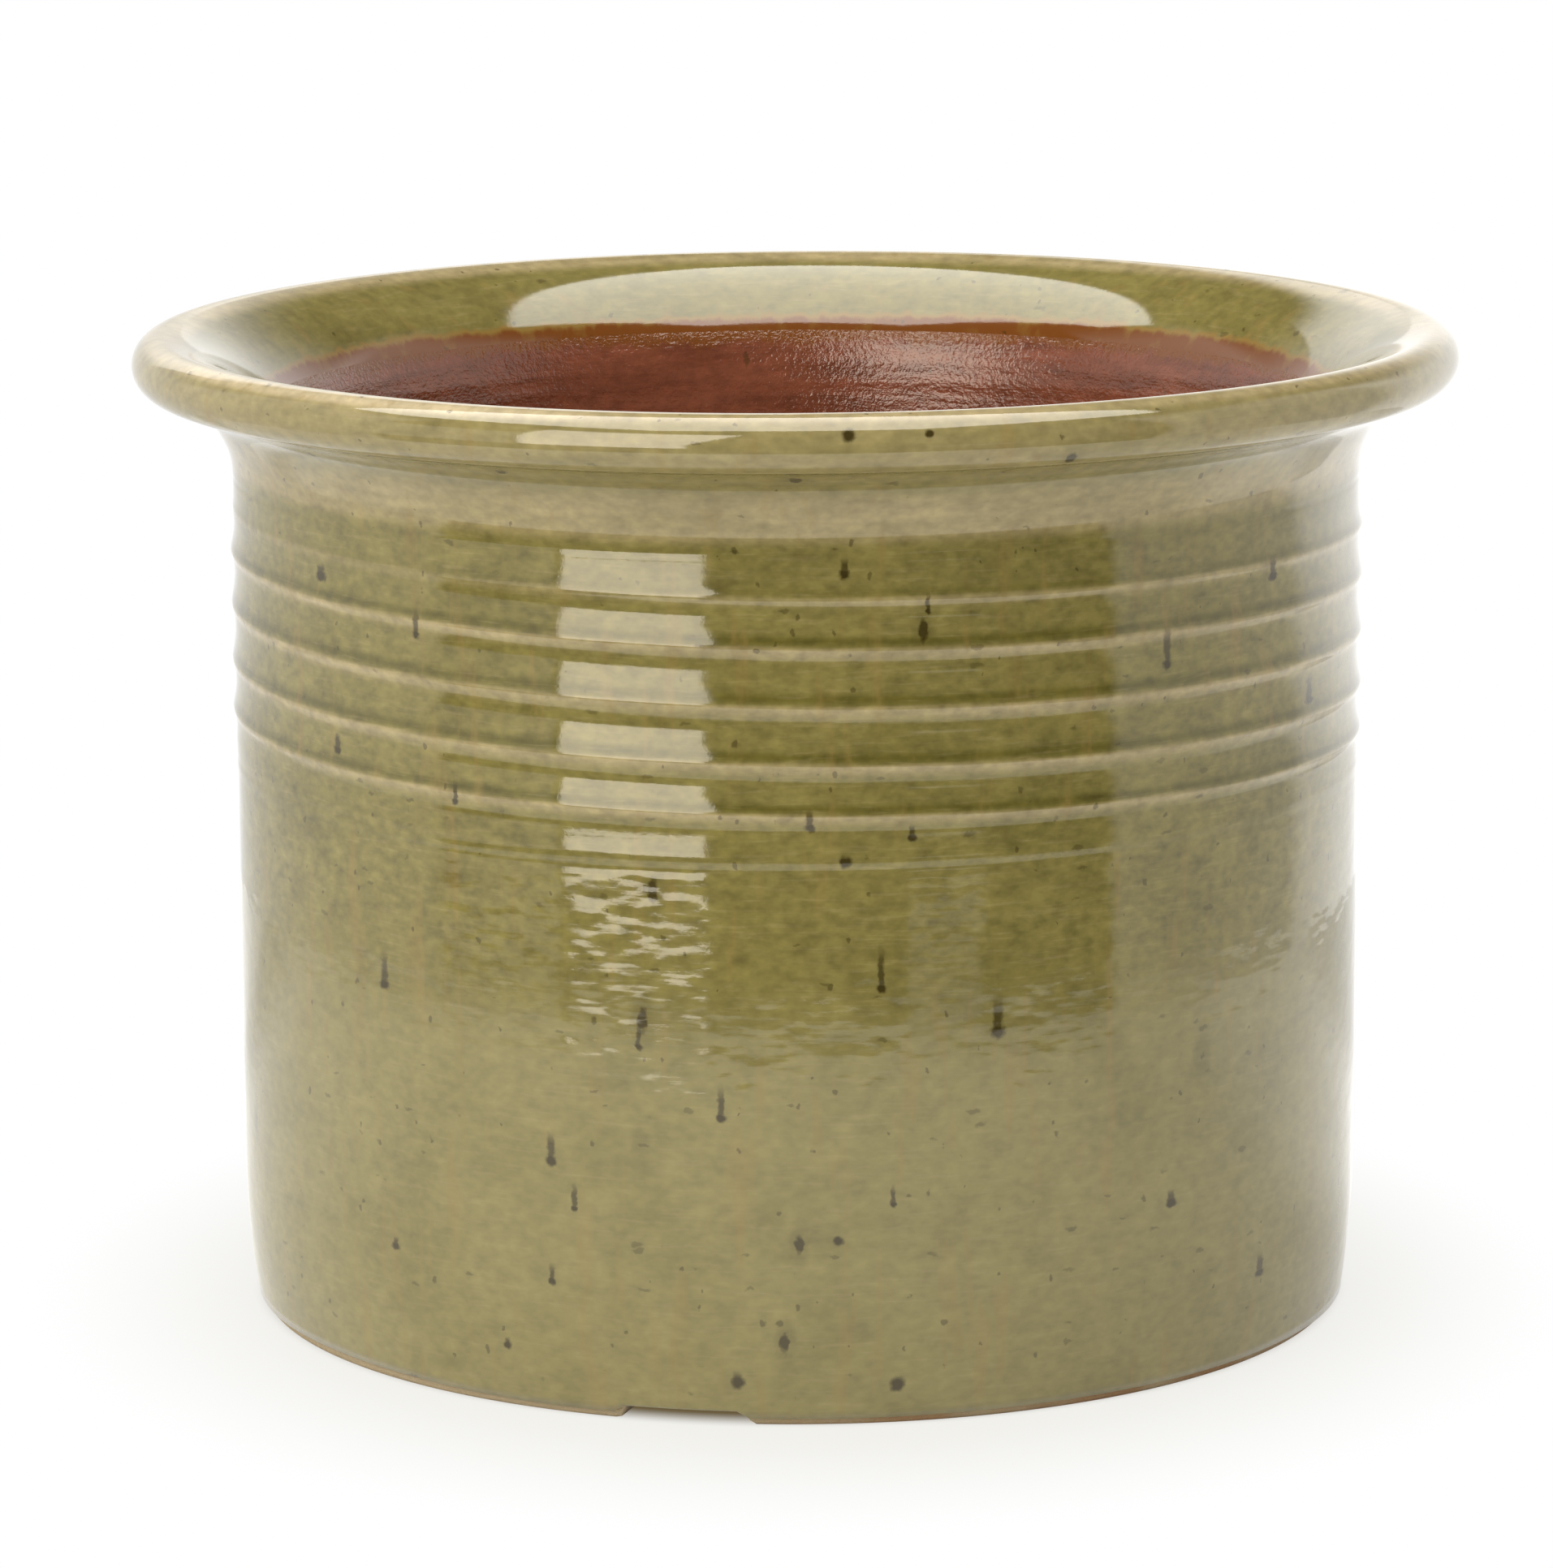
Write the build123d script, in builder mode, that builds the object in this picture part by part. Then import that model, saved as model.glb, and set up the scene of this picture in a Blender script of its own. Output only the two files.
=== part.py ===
"""Utensil crock: a wheel-thrown stoneware pot with a flared, rolled lip and two glaze coats.

The pot stands on its foot ring at z = 0 and its axis is Z. Its front is towards -Y.
The clay body is one turned solid. The outer glaze and the liner glaze are thin solids that lie on it face to
face, because every line of their sections is the clay's own line moved outwards by the glaze's thickness.
"""

import math
import os

from build123d import *

# Overall sizes, in millimetres, measured over the glaze
overall_height = 133.5
wall_diameter = 152.8

# Thicknesses
glaze_thickness = 0.5
wall_thickness = 5.6
base_thickness = 6.5

# Rolled lip, and how far below its top the neck outside and the throat inside start to flare
lip_thickness = 7.6
lip_overhang = 13.6
neck_drop = 19.0
throat_drop = 19.2

# Foot: the wall rolls in to it, its edge is bevelled, and a ring is left round a shallow recess
foot_roll_height = 17.0
foot_roll_radius = 110.0
foot_bevel_width = 0.5
foot_bevel_height = 0.7
foot_ring_width = 8.0
recess_depth = 2.2
recess_slope = 1.5
floor_corner_radius = 9.0

# Bare clay between the table and the glaze, and the notches that let air out from under the foot
bare_foot_height = 1.5
notch_width = 18.0
notch_height = 1.1
notch_corner_radius = 0.5
notch_count = 3
first_notch_angle = -102.0

# Finger groove: the spiral that the potter's finger leaves in the turning wall
# Its sides slope and its floor is flat, and a narrow land stays between one turn and the next
groove_pitch = 7.25
groove_depth = 0.5
groove_land = 0.8
groove_floor_share = 0.42
groove_turns = 5
groove_neck_gap = 1.725
groove_start_angle = 90.0

# Where the outer coat ends and the liner begins, as a share of the throat's turn from the bore to the lip
liner_edge_share = 0.36

# Overrun of cutting tools, and how far the outer coat's blank reaches into the clay that is cut from it
cut_overrun = 1.0
blank_root = 1.5

quarter_turn = 90.0
half_turn = 180.0

# Clay radii and heights that follow from these
wall_radius = wall_diameter / 2 - glaze_thickness
bore_radius = wall_radius - wall_thickness
bead_radius = lip_thickness / 2 - glaze_thickness
bead_x = wall_diameter / 2 + lip_overhang - lip_thickness / 2
bead_z = overall_height - lip_thickness / 2
floor_z = recess_depth + base_thickness

# The neck's arc touches the wall at its foot, and the lip's round edge from outside
neck_z = overall_height - neck_drop
neck_reach = bead_x - wall_radius
neck_rise = bead_z - neck_z
neck_radius = (neck_reach**2 + neck_rise**2 - bead_radius**2) / (2 * (neck_reach + bead_radius))
neck_x = wall_radius + neck_radius

# The throat's arc touches the bore at its foot, and wraps the lip's round edge
throat_z = overall_height - throat_drop
throat_reach = bead_x - bore_radius
throat_rise = bead_z - throat_z
throat_radius = (throat_reach**2 + throat_rise**2 - bead_radius**2) / (2 * (throat_reach - bead_radius))
throat_x = bore_radius + throat_radius

# Angles at which the arcs meet, in degrees
neck_end = math.degrees(math.atan2(neck_rise, bead_x - neck_x))
throat_end = math.degrees(math.atan2(throat_rise, bead_x - throat_x))
liner_edge_angle = half_turn - (half_turn - throat_end) * liner_edge_share

# The foot's roll is an arc that touches the wall at its top and stops at the bevel
roll_x = wall_radius - foot_roll_radius
bevel_angle = -math.degrees(math.asin((foot_roll_height - foot_bevel_height) / foot_roll_radius))
bare_foot_angle = -math.degrees(math.asin((foot_roll_height - bare_foot_height) / foot_roll_radius))
foot_radius = roll_x + foot_roll_radius * math.cos(math.radians(bevel_angle)) - foot_bevel_width
recess_radius = foot_radius - foot_ring_width

# The groove's half widths at the wall, at its floor, and just above the wall, short of the next turn's
groove_half_width = (groove_pitch - groove_land) / 2
groove_half_floor = groove_half_width * groove_floor_share
groove_half_reach = (groove_half_width + groove_pitch / 2) / 2
groove_end_height = neck_z - groove_neck_gap - groove_half_width
groove_start_height = groove_end_height - groove_pitch * groove_turns


def outside_line(skin, start_angle):
    """The outside, moved out by skin, from an angle on the foot's roll, up the wall and round the lip."""
    CenterArc((roll_x, foot_roll_height), foot_roll_radius + skin, start_angle, -start_angle)
    Line((wall_radius + skin, foot_roll_height), (wall_radius + skin, neck_z))
    CenterArc((neck_x, neck_z), neck_radius - skin, neck_end, half_turn - neck_end)
    CenterArc((bead_x, bead_z), bead_radius + skin, neck_end - half_turn, half_turn + throat_end - neck_end)


def throat_line(skin, start_angle, end_angle):
    """The throat's arc, moved out of the clay by skin, between two angles."""
    CenterArc((throat_x, throat_z), throat_radius + skin, start_angle, end_angle - start_angle)


def bore_line(skin):
    """The inside, moved out of the clay by skin, from the throat down and over the floor to the axis."""
    corner_x = bore_radius - floor_corner_radius
    corner_z = floor_z + floor_corner_radius
    Line((bore_radius - skin, throat_z), (bore_radius - skin, corner_z))
    CenterArc((corner_x, corner_z), floor_corner_radius - skin, -quarter_turn, quarter_turn)
    Line((corner_x, floor_z + skin), (0, floor_z + skin))


def on_arc(center_x, center_z, radius, angle):
    """The point of an arc at an angle."""
    turn = math.radians(angle)
    return (center_x + radius * math.cos(turn), center_z + radius * math.sin(turn))


def groove_pass(skin):
    """The tool for the finger groove in a wall grown by skin, with a round run-out at each end.

    A skin narrows the groove on both sides and leaves its depth and the slope of its sides as they are.
    """
    side_width = groove_half_width - groove_half_floor
    narrowing = skin * math.tan(math.atan2(groove_depth, side_width) / 2)
    half_floor = groove_half_floor - narrowing
    half_reach = groove_half_reach - narrowing
    reach_height = groove_depth * (groove_half_reach - groove_half_width) / side_width
    with BuildPart() as tool:
        with BuildLine():
            spiral = Helix(
                pitch=groove_pitch,
                height=groove_pitch * groove_turns,
                radius=wall_radius + skin,
                center=(0, 0, groove_start_height),
                lefthand=True,
            )
        start_plane = Plane(origin=spiral @ 0, x_dir=(1, 0, 0), z_dir=spiral % 0)
        end_plane = Plane(origin=spiral @ 1, x_dir=(1, 0, 0), z_dir=spiral % 1)
        with BuildSketch(start_plane):
            with BuildLine():
                Polyline(
                    (reach_height, -half_reach),
                    (-groove_depth, -half_floor),
                    (-groove_depth, half_floor),
                    (reach_height, half_reach),
                    close=True,
                )
            make_face()
        sweep(path=spiral, is_frenet=True)
        for plane, side in ((start_plane, -1), (end_plane, 1)):
            with BuildSketch(plane):
                with BuildLine():
                    Polyline(
                        (-groove_depth, 0),
                        (-groove_depth, half_floor),
                        (reach_height, half_reach),
                        (reach_height, 0),
                        close=True,
                    )
                make_face()
            revolve(axis=Axis(plane.origin, plane.x_dir * side), revolution_arc=half_turn)
    return tool.part


# The clay body: turned section, finger groove and foot notches
with BuildPart() as notch_tool:
    with BuildSketch(Plane.YZ.offset(recess_radius - recess_slope - cut_overrun)):
        with BuildLine():
            Polyline(
                (-notch_width / 2, -cut_overrun),
                (notch_width / 2, -cut_overrun),
                (notch_width / 2, notch_height),
                (-notch_width / 2, notch_height),
                close=True,
            )
        notch_section = make_face()
        fillet(notch_section.vertices().group_by(Axis.Y)[-1], notch_corner_radius)
    extrude(amount=foot_ring_width + recess_slope + 2 * cut_overrun)

with BuildPart() as clay_body:
    with BuildSketch(Plane.XZ):
        with BuildLine():
            outside_line(0, bevel_angle)
            throat_line(0, throat_end, half_turn)
            bore_line(0)
            Polyline(
                (0, floor_z),
                (0, recess_depth),
                (recess_radius - recess_slope, recess_depth),
                (recess_radius, 0),
                (foot_radius, 0),
                (foot_radius + foot_bevel_width, foot_bevel_height),
            )
        make_face()
    revolve(axis=Axis.Z)
    add(groove_pass(0), rotation=(0, 0, groove_start_angle), mode=Mode.SUBTRACT)
    with PolarLocations(0, notch_count, start_angle=first_notch_angle):
        add(notch_tool.part, mode=Mode.SUBTRACT)
clay_body.part.label = "clay_body"


# The outer glaze: from above the bare foot, over the lip and down into the throat
with BuildPart() as outer_glaze:
    with BuildSketch(Plane.XZ):
        with BuildLine():
            outside_line(glaze_thickness, bare_foot_angle)
            throat_line(glaze_thickness, throat_end, liner_edge_angle)
            Line(
                on_arc(throat_x, throat_z, throat_radius + glaze_thickness, liner_edge_angle),
                on_arc(throat_x, throat_z, throat_radius - blank_root, liner_edge_angle),
            )
            throat_line(-blank_root, throat_end, liner_edge_angle)
            outside_line(-blank_root, bare_foot_angle)
            Line(
                on_arc(roll_x, foot_roll_height, foot_roll_radius - blank_root, bare_foot_angle),
                on_arc(roll_x, foot_roll_height, foot_roll_radius + glaze_thickness, bare_foot_angle),
            )
        make_face()
    revolve(axis=Axis.Z)
    add(groove_pass(glaze_thickness), rotation=(0, 0, groove_start_angle), mode=Mode.SUBTRACT)
    add(clay_body.part, mode=Mode.SUBTRACT)
outer_glaze.part.label = "outer_glaze"


# The liner glaze: from the end of the outer glaze down the bore and over the floor
with BuildPart() as liner_glaze:
    with BuildSketch(Plane.XZ):
        with BuildLine():
            throat_line(glaze_thickness, liner_edge_angle, half_turn)
            bore_line(glaze_thickness)
            Line((0, floor_z + glaze_thickness), (0, floor_z))
            bore_line(0)
            throat_line(0, liner_edge_angle, half_turn)
            Line(
                on_arc(throat_x, throat_z, throat_radius, liner_edge_angle),
                on_arc(throat_x, throat_z, throat_radius + glaze_thickness, liner_edge_angle),
            )
        make_face()
    revolve(axis=Axis.Z)
liner_glaze.part.label = "liner_glaze"


os.makedirs("parts", exist_ok=True)
export_step(clay_body.part, "parts/clay_body.step")
export_step(outer_glaze.part, "parts/outer_glaze.step")
export_step(liner_glaze.part, "parts/liner_glaze.step")
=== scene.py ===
"""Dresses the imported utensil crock: a hand-thrown pot, glazed olive outside and iron red within."""

import math

import bpy
import numpy as np
from mathutils import Matrix, Vector


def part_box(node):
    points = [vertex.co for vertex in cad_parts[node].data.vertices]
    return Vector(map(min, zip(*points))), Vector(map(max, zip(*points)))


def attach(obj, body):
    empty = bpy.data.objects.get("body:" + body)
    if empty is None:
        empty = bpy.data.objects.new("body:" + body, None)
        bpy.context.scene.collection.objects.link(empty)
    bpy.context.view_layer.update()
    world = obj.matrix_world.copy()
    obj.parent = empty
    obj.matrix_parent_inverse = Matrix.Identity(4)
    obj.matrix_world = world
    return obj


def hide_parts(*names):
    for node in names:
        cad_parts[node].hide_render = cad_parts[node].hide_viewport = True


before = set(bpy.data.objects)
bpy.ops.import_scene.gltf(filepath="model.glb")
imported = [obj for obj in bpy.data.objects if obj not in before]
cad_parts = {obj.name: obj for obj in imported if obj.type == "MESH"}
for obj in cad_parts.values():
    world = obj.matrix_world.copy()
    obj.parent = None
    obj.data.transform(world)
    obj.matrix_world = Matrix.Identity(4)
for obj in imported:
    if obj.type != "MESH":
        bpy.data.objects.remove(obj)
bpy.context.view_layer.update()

bl_info = {
    "name": "Thrown utensil crock",
    "version": (1, 0, 0),
    "blender": (4, 5, 0),
    "location": "View3D > Sidebar > Crock",
    "description": "Builds the surfaces, glazes and studio of a wheel-thrown utensil crock",
    "category": "Object",
}

MM = 0.001
COAT_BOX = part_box("outer_glaze")
BOX_MARGIN = 0.00002

# The outer coat's own radius and height in millimetres, just inside its box
COAT_RADIUS = (COAT_BOX[1][0] - BOX_MARGIN) / MM
COAT_HEIGHT = (COAT_BOX[1][2] - BOX_MARGIN) / MM


# Sizes and colours that a user may change


def length(name, description, millimetres):
    """A length property, given in millimetres and held in metres."""
    return bpy.props.FloatProperty(
        name=name, description=description, default=millimetres * MM,
        unit="LENGTH", subtype="DISTANCE",
    )


def colour(name, description, red, green, blue):
    """A colour property in linear red, green and blue."""
    return bpy.props.FloatVectorProperty(
        name=name, description=description, default=(red, green, blue),
        size=3, min=0.0, max=1.0, subtype="COLOR",
    )


class CrockSizes(bpy.types.PropertyGroup):
    """The turned section of the pot, and how deep the potter's marks are"""

    rim_radius: length("Rim radius", "Outermost reach of the rolled lip", COAT_RADIUS)
    height: length("Height", "Top of the lip above the table", COAT_HEIGHT)
    wall_radius: length("Wall radius", "Glazed wall below the neck", 76.4)
    wall: length("Wall", "Thickness of the clay wall", 5.6)
    glaze: length("Glaze", "Thickness of a glaze coat", 0.5)
    lip: length("Lip", "Thickness of the rolled lip", 7.6)
    neck_drop: length("Neck drop", "From the top of the lip down to where the neck starts", 19.0)
    throat_drop: length("Throat drop", "From the top of the lip down to where the throat starts", 19.2)
    roll_height: length("Roll height", "Where the wall starts to roll in to the foot", 17.0)
    roll_radius: length("Roll radius", "Radius of the roll above the foot", 110.0)
    bare_foot: length("Bare foot", "Height of the clay that the glaze leaves bare", 1.0)
    foot_ring: length("Foot ring", "Width of the ring that the pot stands on", 8.0)
    recess: length("Recess", "Depth of the hollow under the pot", 2.2)
    base: length("Base", "Thickness of the clay floor", 6.5)
    floor_corner: length("Floor corner", "Round between the wall and the floor inside", 9.0)
    notch_width: length("Notch width", "Width of a notch in the foot ring", 18.0)
    notch_height: length("Notch height", "Height of a notch in the foot ring", 1.9)
    ridge_depth: length("Ridge depth", "Depth of the finger groove between its ridges", 0.5)


class CrockColours(bpy.types.PropertyGroup):
    """The colours of the clay and the glazes"""

    olive: colour("Olive", "Glaze of an even thickness", 0.254, 0.210, 0.060)
    olive_deep: colour("Deep olive", "Glaze that has pooled", 0.135, 0.112, 0.020)
    # Partly real and partly painted light: a greyer olive for the lower wall, made lighter than the olive
    # to stand in for bounce light from the table.
    olive_grey_and_bounce: colour("Grey olive", "Glaze on the lower wall", 0.292, 0.243, 0.083)
    tan: colour("Tan", "Glaze that has run thin over an edge", 0.49, 0.38, 0.185)
    iron: colour("Iron", "Iron specks that come through the glaze", 0.050, 0.034, 0.006)
    # Painted highlight: this cream is laid on the top of the lip at its left front, in place of the lamps'
    # sheen there.
    lip_highlight: colour("Cream", "Glaze on the lip where it is thinnest", 0.70, 0.56, 0.33)
    gold: colour("Gold", "Outer glaze next to the amber band", 0.33, 0.20, 0.045)
    amber: colour("Amber", "Band where the two glazes meet", 0.225, 0.072, 0.014)
    red: colour("Iron red", "Liner glaze", 0.26, 0.078, 0.037)
    red_dark: colour("Dark red", "Liner glaze where it is thick", 0.185, 0.052, 0.023)
    clay: colour("Clay", "Bare fired clay", 0.50, 0.39, 0.235)
    clay_toast: colour("Toasted clay", "Bare clay that the flame has flashed", 0.40, 0.235, 0.11)
    table: colour("Table", "The plain pale table", 0.82, 0.82, 0.81)


# The turned section: points along lines and arcs, in millimetres


class Section:
    """Radii and heights of the pot's section, worked out from the sizes as the solids' are."""

    def __init__(self, sizes):
        lip_radius = sizes.lip / MM / 2
        self.glaze = sizes.glaze / MM
        self.height = sizes.height / MM
        self.wall = sizes.wall_radius / MM
        self.bore = self.wall - sizes.wall / MM - 2 * self.glaze
        self.bead = lip_radius
        self.bead_x = sizes.rim_radius / MM - lip_radius
        self.bead_z = self.height - lip_radius
        self.neck_z = self.height - sizes.neck_drop / MM
        self.throat_z = self.height - sizes.throat_drop / MM
        reach, rise = self.bead_x - self.wall, self.bead_z - self.neck_z
        self.neck = (reach**2 + rise**2 - lip_radius**2) / (2 * (reach + lip_radius))
        self.neck_x = self.wall + self.neck
        reach, rise = self.bead_x - self.bore, self.bead_z - self.throat_z
        self.throat = (reach**2 + rise**2 - lip_radius**2) / (2 * (reach - lip_radius))
        self.throat_x = self.bore + self.throat
        self.neck_end = math.atan2(self.bead_z - self.neck_z, self.bead_x - self.neck_x)
        self.throat_end = math.atan2(self.bead_z - self.throat_z, self.bead_x - self.throat_x)
        self.coat_end = math.pi - (math.pi - self.throat_end) * LINER_EDGE_SHARE
        self.overlap = COATS_OVERLAP / self.throat
        self.roll_z = sizes.roll_height / MM
        self.roll = sizes.roll_radius / MM + self.glaze
        self.roll_x = self.wall - self.roll
        self.bare_foot = sizes.bare_foot / MM
        self.ring = sizes.foot_ring / MM
        self.recess = sizes.recess / MM
        self.floor_z = self.recess + sizes.base / MM + self.glaze
        self.corner = sizes.floor_corner / MM - self.glaze
        self.notch_width = sizes.notch_width / MM
        self.notch_height = sizes.notch_height / MM
        self.ridge_depth = sizes.ridge_depth / MM


# Where the liner begins, as a share of the throat's turn, and how the coats overlap and tuck in there
LINER_EDGE_SHARE = 0.36
COATS_OVERLAP = 1.5
COAT_TUCK = 0.08
THROAT_SWELL = 0.65
THROAT_SWELL_FROM = 7.5
THROAT_SWELL_TO = 17.0

# The mesh's columns round the pot and the steps along its section, and the least radius beside a pole
COLUMNS = 288
ROW_RIDGES = 0.36
ROW_WALL = 1.2
ROW_ROUND = 0.5
ROW_MIDDLE = 1.0
POLE_RADIUS = 0.4


def arc(center_x, center_z, radius, start, end, step):
    """Points on an arc from a start to an end angle, about one step apart, without the last one.

    A point is the centre plus the radius times the cosine and the sine of its angle. Its normal is
    that direction.
    """
    count = max(3, int(round(abs(end - start) * radius / step)))
    turn = np.linspace(start, end, count, endpoint=False)
    points = np.stack([center_x + radius * np.cos(turn), center_z + radius * np.sin(turn)], 1)
    return points, np.stack([np.cos(turn), np.sin(turn)], 1)


def line(start, end, step, normal):
    """Points on a straight line, about one step apart, without the last one. All have the same normal."""
    start, end = np.array(start, float), np.array(end, float)
    count = max(2, int(round(np.linalg.norm(end - start) / step)))
    share = np.linspace(0.0, 1.0, count, endpoint=False)[:, None]
    return start + (end - start) * share, np.repeat(np.array([normal], float), count, 0)


def join(*runs):
    """One section out of several runs of points and normals."""
    return np.concatenate([run[0] for run in runs]), np.concatenate([run[1] for run in runs])


def outside_section(s):
    """The glazed outside from the bare foot up the wall and the neck, round the lip, into the throat."""
    low = -math.asin((s.roll_z - s.bare_foot) / s.roll)
    wall_low = (s.wall, s.roll_z)
    ridge_low = (s.wall, LEDGE_FROM)
    roll = arc(s.roll_x, s.roll_z, s.roll, low, 0.0, ROW_WALL)
    plain = line(wall_low, ridge_low, ROW_WALL, (1, 0))
    ridged = line(ridge_low, (s.wall, s.neck_z), ROW_RIDGES, (1, 0))
    neck = arc(s.neck_x, s.neck_z, s.neck, math.pi, s.neck_end, ROW_ROUND)
    neck = (neck[0], -neck[1])
    bead = arc(s.bead_x, s.bead_z, s.bead, s.neck_end - math.pi, s.throat_end, ROW_ROUND)
    throat = arc(s.throat_x, s.throat_z, s.throat, s.throat_end, s.coat_end + s.overlap, ROW_ROUND)
    return join(roll, plain, ridged, neck, bead, throat)


def inside_section(s):
    """The glazed inside from the outer coat's end down the throat and the bore, and over the floor."""
    corner_x, corner_z = s.bore - s.corner, s.floor_z + s.corner
    throat = arc(s.throat_x, s.throat_z, s.throat, s.coat_end - s.overlap, math.pi, ROW_ROUND)
    bore = line((s.bore, s.throat_z), (s.bore, corner_z), ROW_WALL, (-1, 0))
    corner = arc(corner_x, corner_z, s.corner, 0.0, -math.pi / 2, ROW_WALL)
    corner = (corner[0], -corner[1])
    floor = line((corner_x, s.floor_z), (ROW_MIDDLE, s.floor_z), ROW_WALL, (0, 1))
    return join(throat, bore, corner, floor)


# The potter's marks: functions of height and of the turn round the pot

# Heights of the spiral ridge where it passes the front, one for each turn, in millimetres
RIDGE_HEIGHTS = (75.0, 80.6, 87.2, 94.7, 102.3, 108.8)
RIDGES_LOW = 75.0
RIDGES_SWELL_FROM = 76.5
RIDGES_FULL = 80.2
LOWEST_RIDGE_SHARE = 0.12
RIDGES_TOP = 112.0
RIDGES_FADE_OUT = 6.0
RIDGE_RISE = 0.05
RIDGE_WANDER = 0.25
RIDGE_UNEVENNESS = 0.14
RIDGE_CURVE_ORDER = 4
LEDGE_FROM = 72.8
HOLLOW_SHARE = 0.56
UNDERCUT_SHARE = 0.28
UNDERCUT_START = 0.86

# Where the glaze runs thin under a ridge's crest and past it, and where it pools, as shares of the pitch
CREST_FROM = 0.70
CREST_FULL = 0.97
CREST_SHARPNESS = 1.4
CREST_PAST = 0.05
POOL_PLACE = 0.15
POOL_WIDTH = 0.09

# The ring and the lift at the neck, and the lip's tilt
NECK_RING_HEIGHT = 114.1
NECK_RING_WIDTH = 0.4
NECK_RING_DEPTH = 0.08
NECK_LIFT = 0.08
NECK_LIFT_FROM = 112.6
NECK_LIFT_TO = 115.2
RIM_TILT = 0.0029
RIM_TILT_MIDDLE = 45.0
RIM_TILT_BELOW_NECK = 4.0

# The wall's swell and unevenness, and the shallow rings on its lower part
WALL_MARKS_END = (1.0, 4.0)
WALL_SWELL = 0.2
WALL_UNEVENNESS = 0.05
WALL_SWELL_HEIGHTS = (4.0, 24.0)
LOW_RINGS_FADE = 10.0
LOW_RINGS_HEIGHTS = (3.0, 12.0)
LOW_RINGS_DEPTH = 0.004
LOW_RINGS_RATE = 1.35
LOW_RINGS_WANDER = 1.3
FINE_RINGS_RATE = 2.9
FINE_RINGS_SHARE = 0.6

# The slow waves: drift with height, fall-off of the finer ones, gain, and a seed for each use
WAVE_DRIFT = 0.12
WAVE_FALL_OFF = 0.7
WAVE_GAIN = 1.6
SEED_WANDER, SEED_RIDGES, SEED_WALL, SEED_RINGS = 3, 7, 11, 13
SEED_EDGE, SEED_INSIDE, SEED_OUTER_AMBER, SEED_INNER_AMBER = 17, 19, 23, 29


def smooth_step(low, high, value):
    """Zero below low, one above high, and a smooth cubic between them."""
    share = np.clip((value - low) / (high - low), 0.0, 1.0)
    return share * share * (3.0 - 2.0 * share)


def slow_wave(turn, height, seed, waves=5):
    """A smooth value from about -1 to 1 that changes slowly round the pot and up it.

    It is a sum of cosines of whole multiples of the turn, so that it closes. Each has its own seeded
    phase and drift.
    """
    random = np.random.default_rng(seed)
    total = np.zeros(np.broadcast(turn, height).shape)
    weight = 0.0
    for order in range(1, waves + 1):
        phase = random.uniform(0.0, math.tau)
        drift = random.uniform(-WAVE_DRIFT, WAVE_DRIFT)
        total += np.cos(order * turn + phase + drift * height) / order**WAVE_FALL_OFF
        weight += 1.0 / order**WAVE_FALL_OFF
    return total / weight * WAVE_GAIN


def ridges(height, turn, depth):
    """How far the finger ridges stand out from the wall, and where the ridges and the hollows are.

    The groove climbs one pitch a turn, clockwise from above. Its place in the pitch goes from 0 at one
    ridge to 1 at the next. The wall sinks on a quarter sine to the hollow and comes back on a quarter
    cosine, with a steeper step right under the upper ridge.
    """
    coefficients = np.polyfit(RIDGE_HEIGHTS, np.arange(len(RIDGE_HEIGHTS)), RIDGE_CURVE_ORDER)
    wander = RIDGE_WANDER * slow_wave(turn, height, SEED_WANDER, 4)
    clipped = np.clip(height + wander, RIDGES_LOW, RIDGES_TOP + 1.0)
    passes = np.polyval(coefficients, clipped) - turn / math.tau
    place = passes - np.floor(passes)
    rising = np.sin(0.5 * math.pi * np.clip(place / HOLLOW_SHARE, 0.0, 1.0))
    share = np.clip((place - HOLLOW_SHARE) / (1.0 - HOLLOW_SHARE), 0.0, 1.0)
    falling = (1.0 - UNDERCUT_SHARE) * np.cos(0.5 * math.pi * share)
    falling += UNDERCUT_SHARE * (1.0 - smooth_step(UNDERCUT_START, 1.0, place))
    sink = np.where(place < HOLLOW_SHARE, rising, falling)
    reach = smooth_step(RIDGES_SWELL_FROM, RIDGES_FULL, height)
    reach = LOWEST_RIDGE_SHARE + (1.0 - LOWEST_RIDGE_SHARE) * reach
    reach = reach * (1.0 - smooth_step(RIDGES_TOP - RIDGES_FADE_OUT, RIDGES_TOP, height))
    reach = reach * (height > RIDGES_LOW)
    uneven = 1.0 + RIDGE_UNEVENNESS * slow_wave(turn, height * 0.6, SEED_RIDGES, 4)
    under_crest = smooth_step(CREST_FROM, CREST_FULL, place) ** CREST_SHARPNESS
    crest = np.maximum(under_crest, 1.0 - smooth_step(0.0, CREST_PAST, place)) * reach
    pool = np.exp(-(((place - POOL_PLACE) / POOL_WIDTH) ** 2)) * reach
    under = LOWEST_RIDGE_SHARE * (height <= RIDGES_LOW)
    rise = depth * (reach * (1.0 - sink * uneven) + under) + RIDGE_RISE
    return rise * smooth_step(LEDGE_FROM, RIDGES_LOW, height), crest, pool


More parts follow.
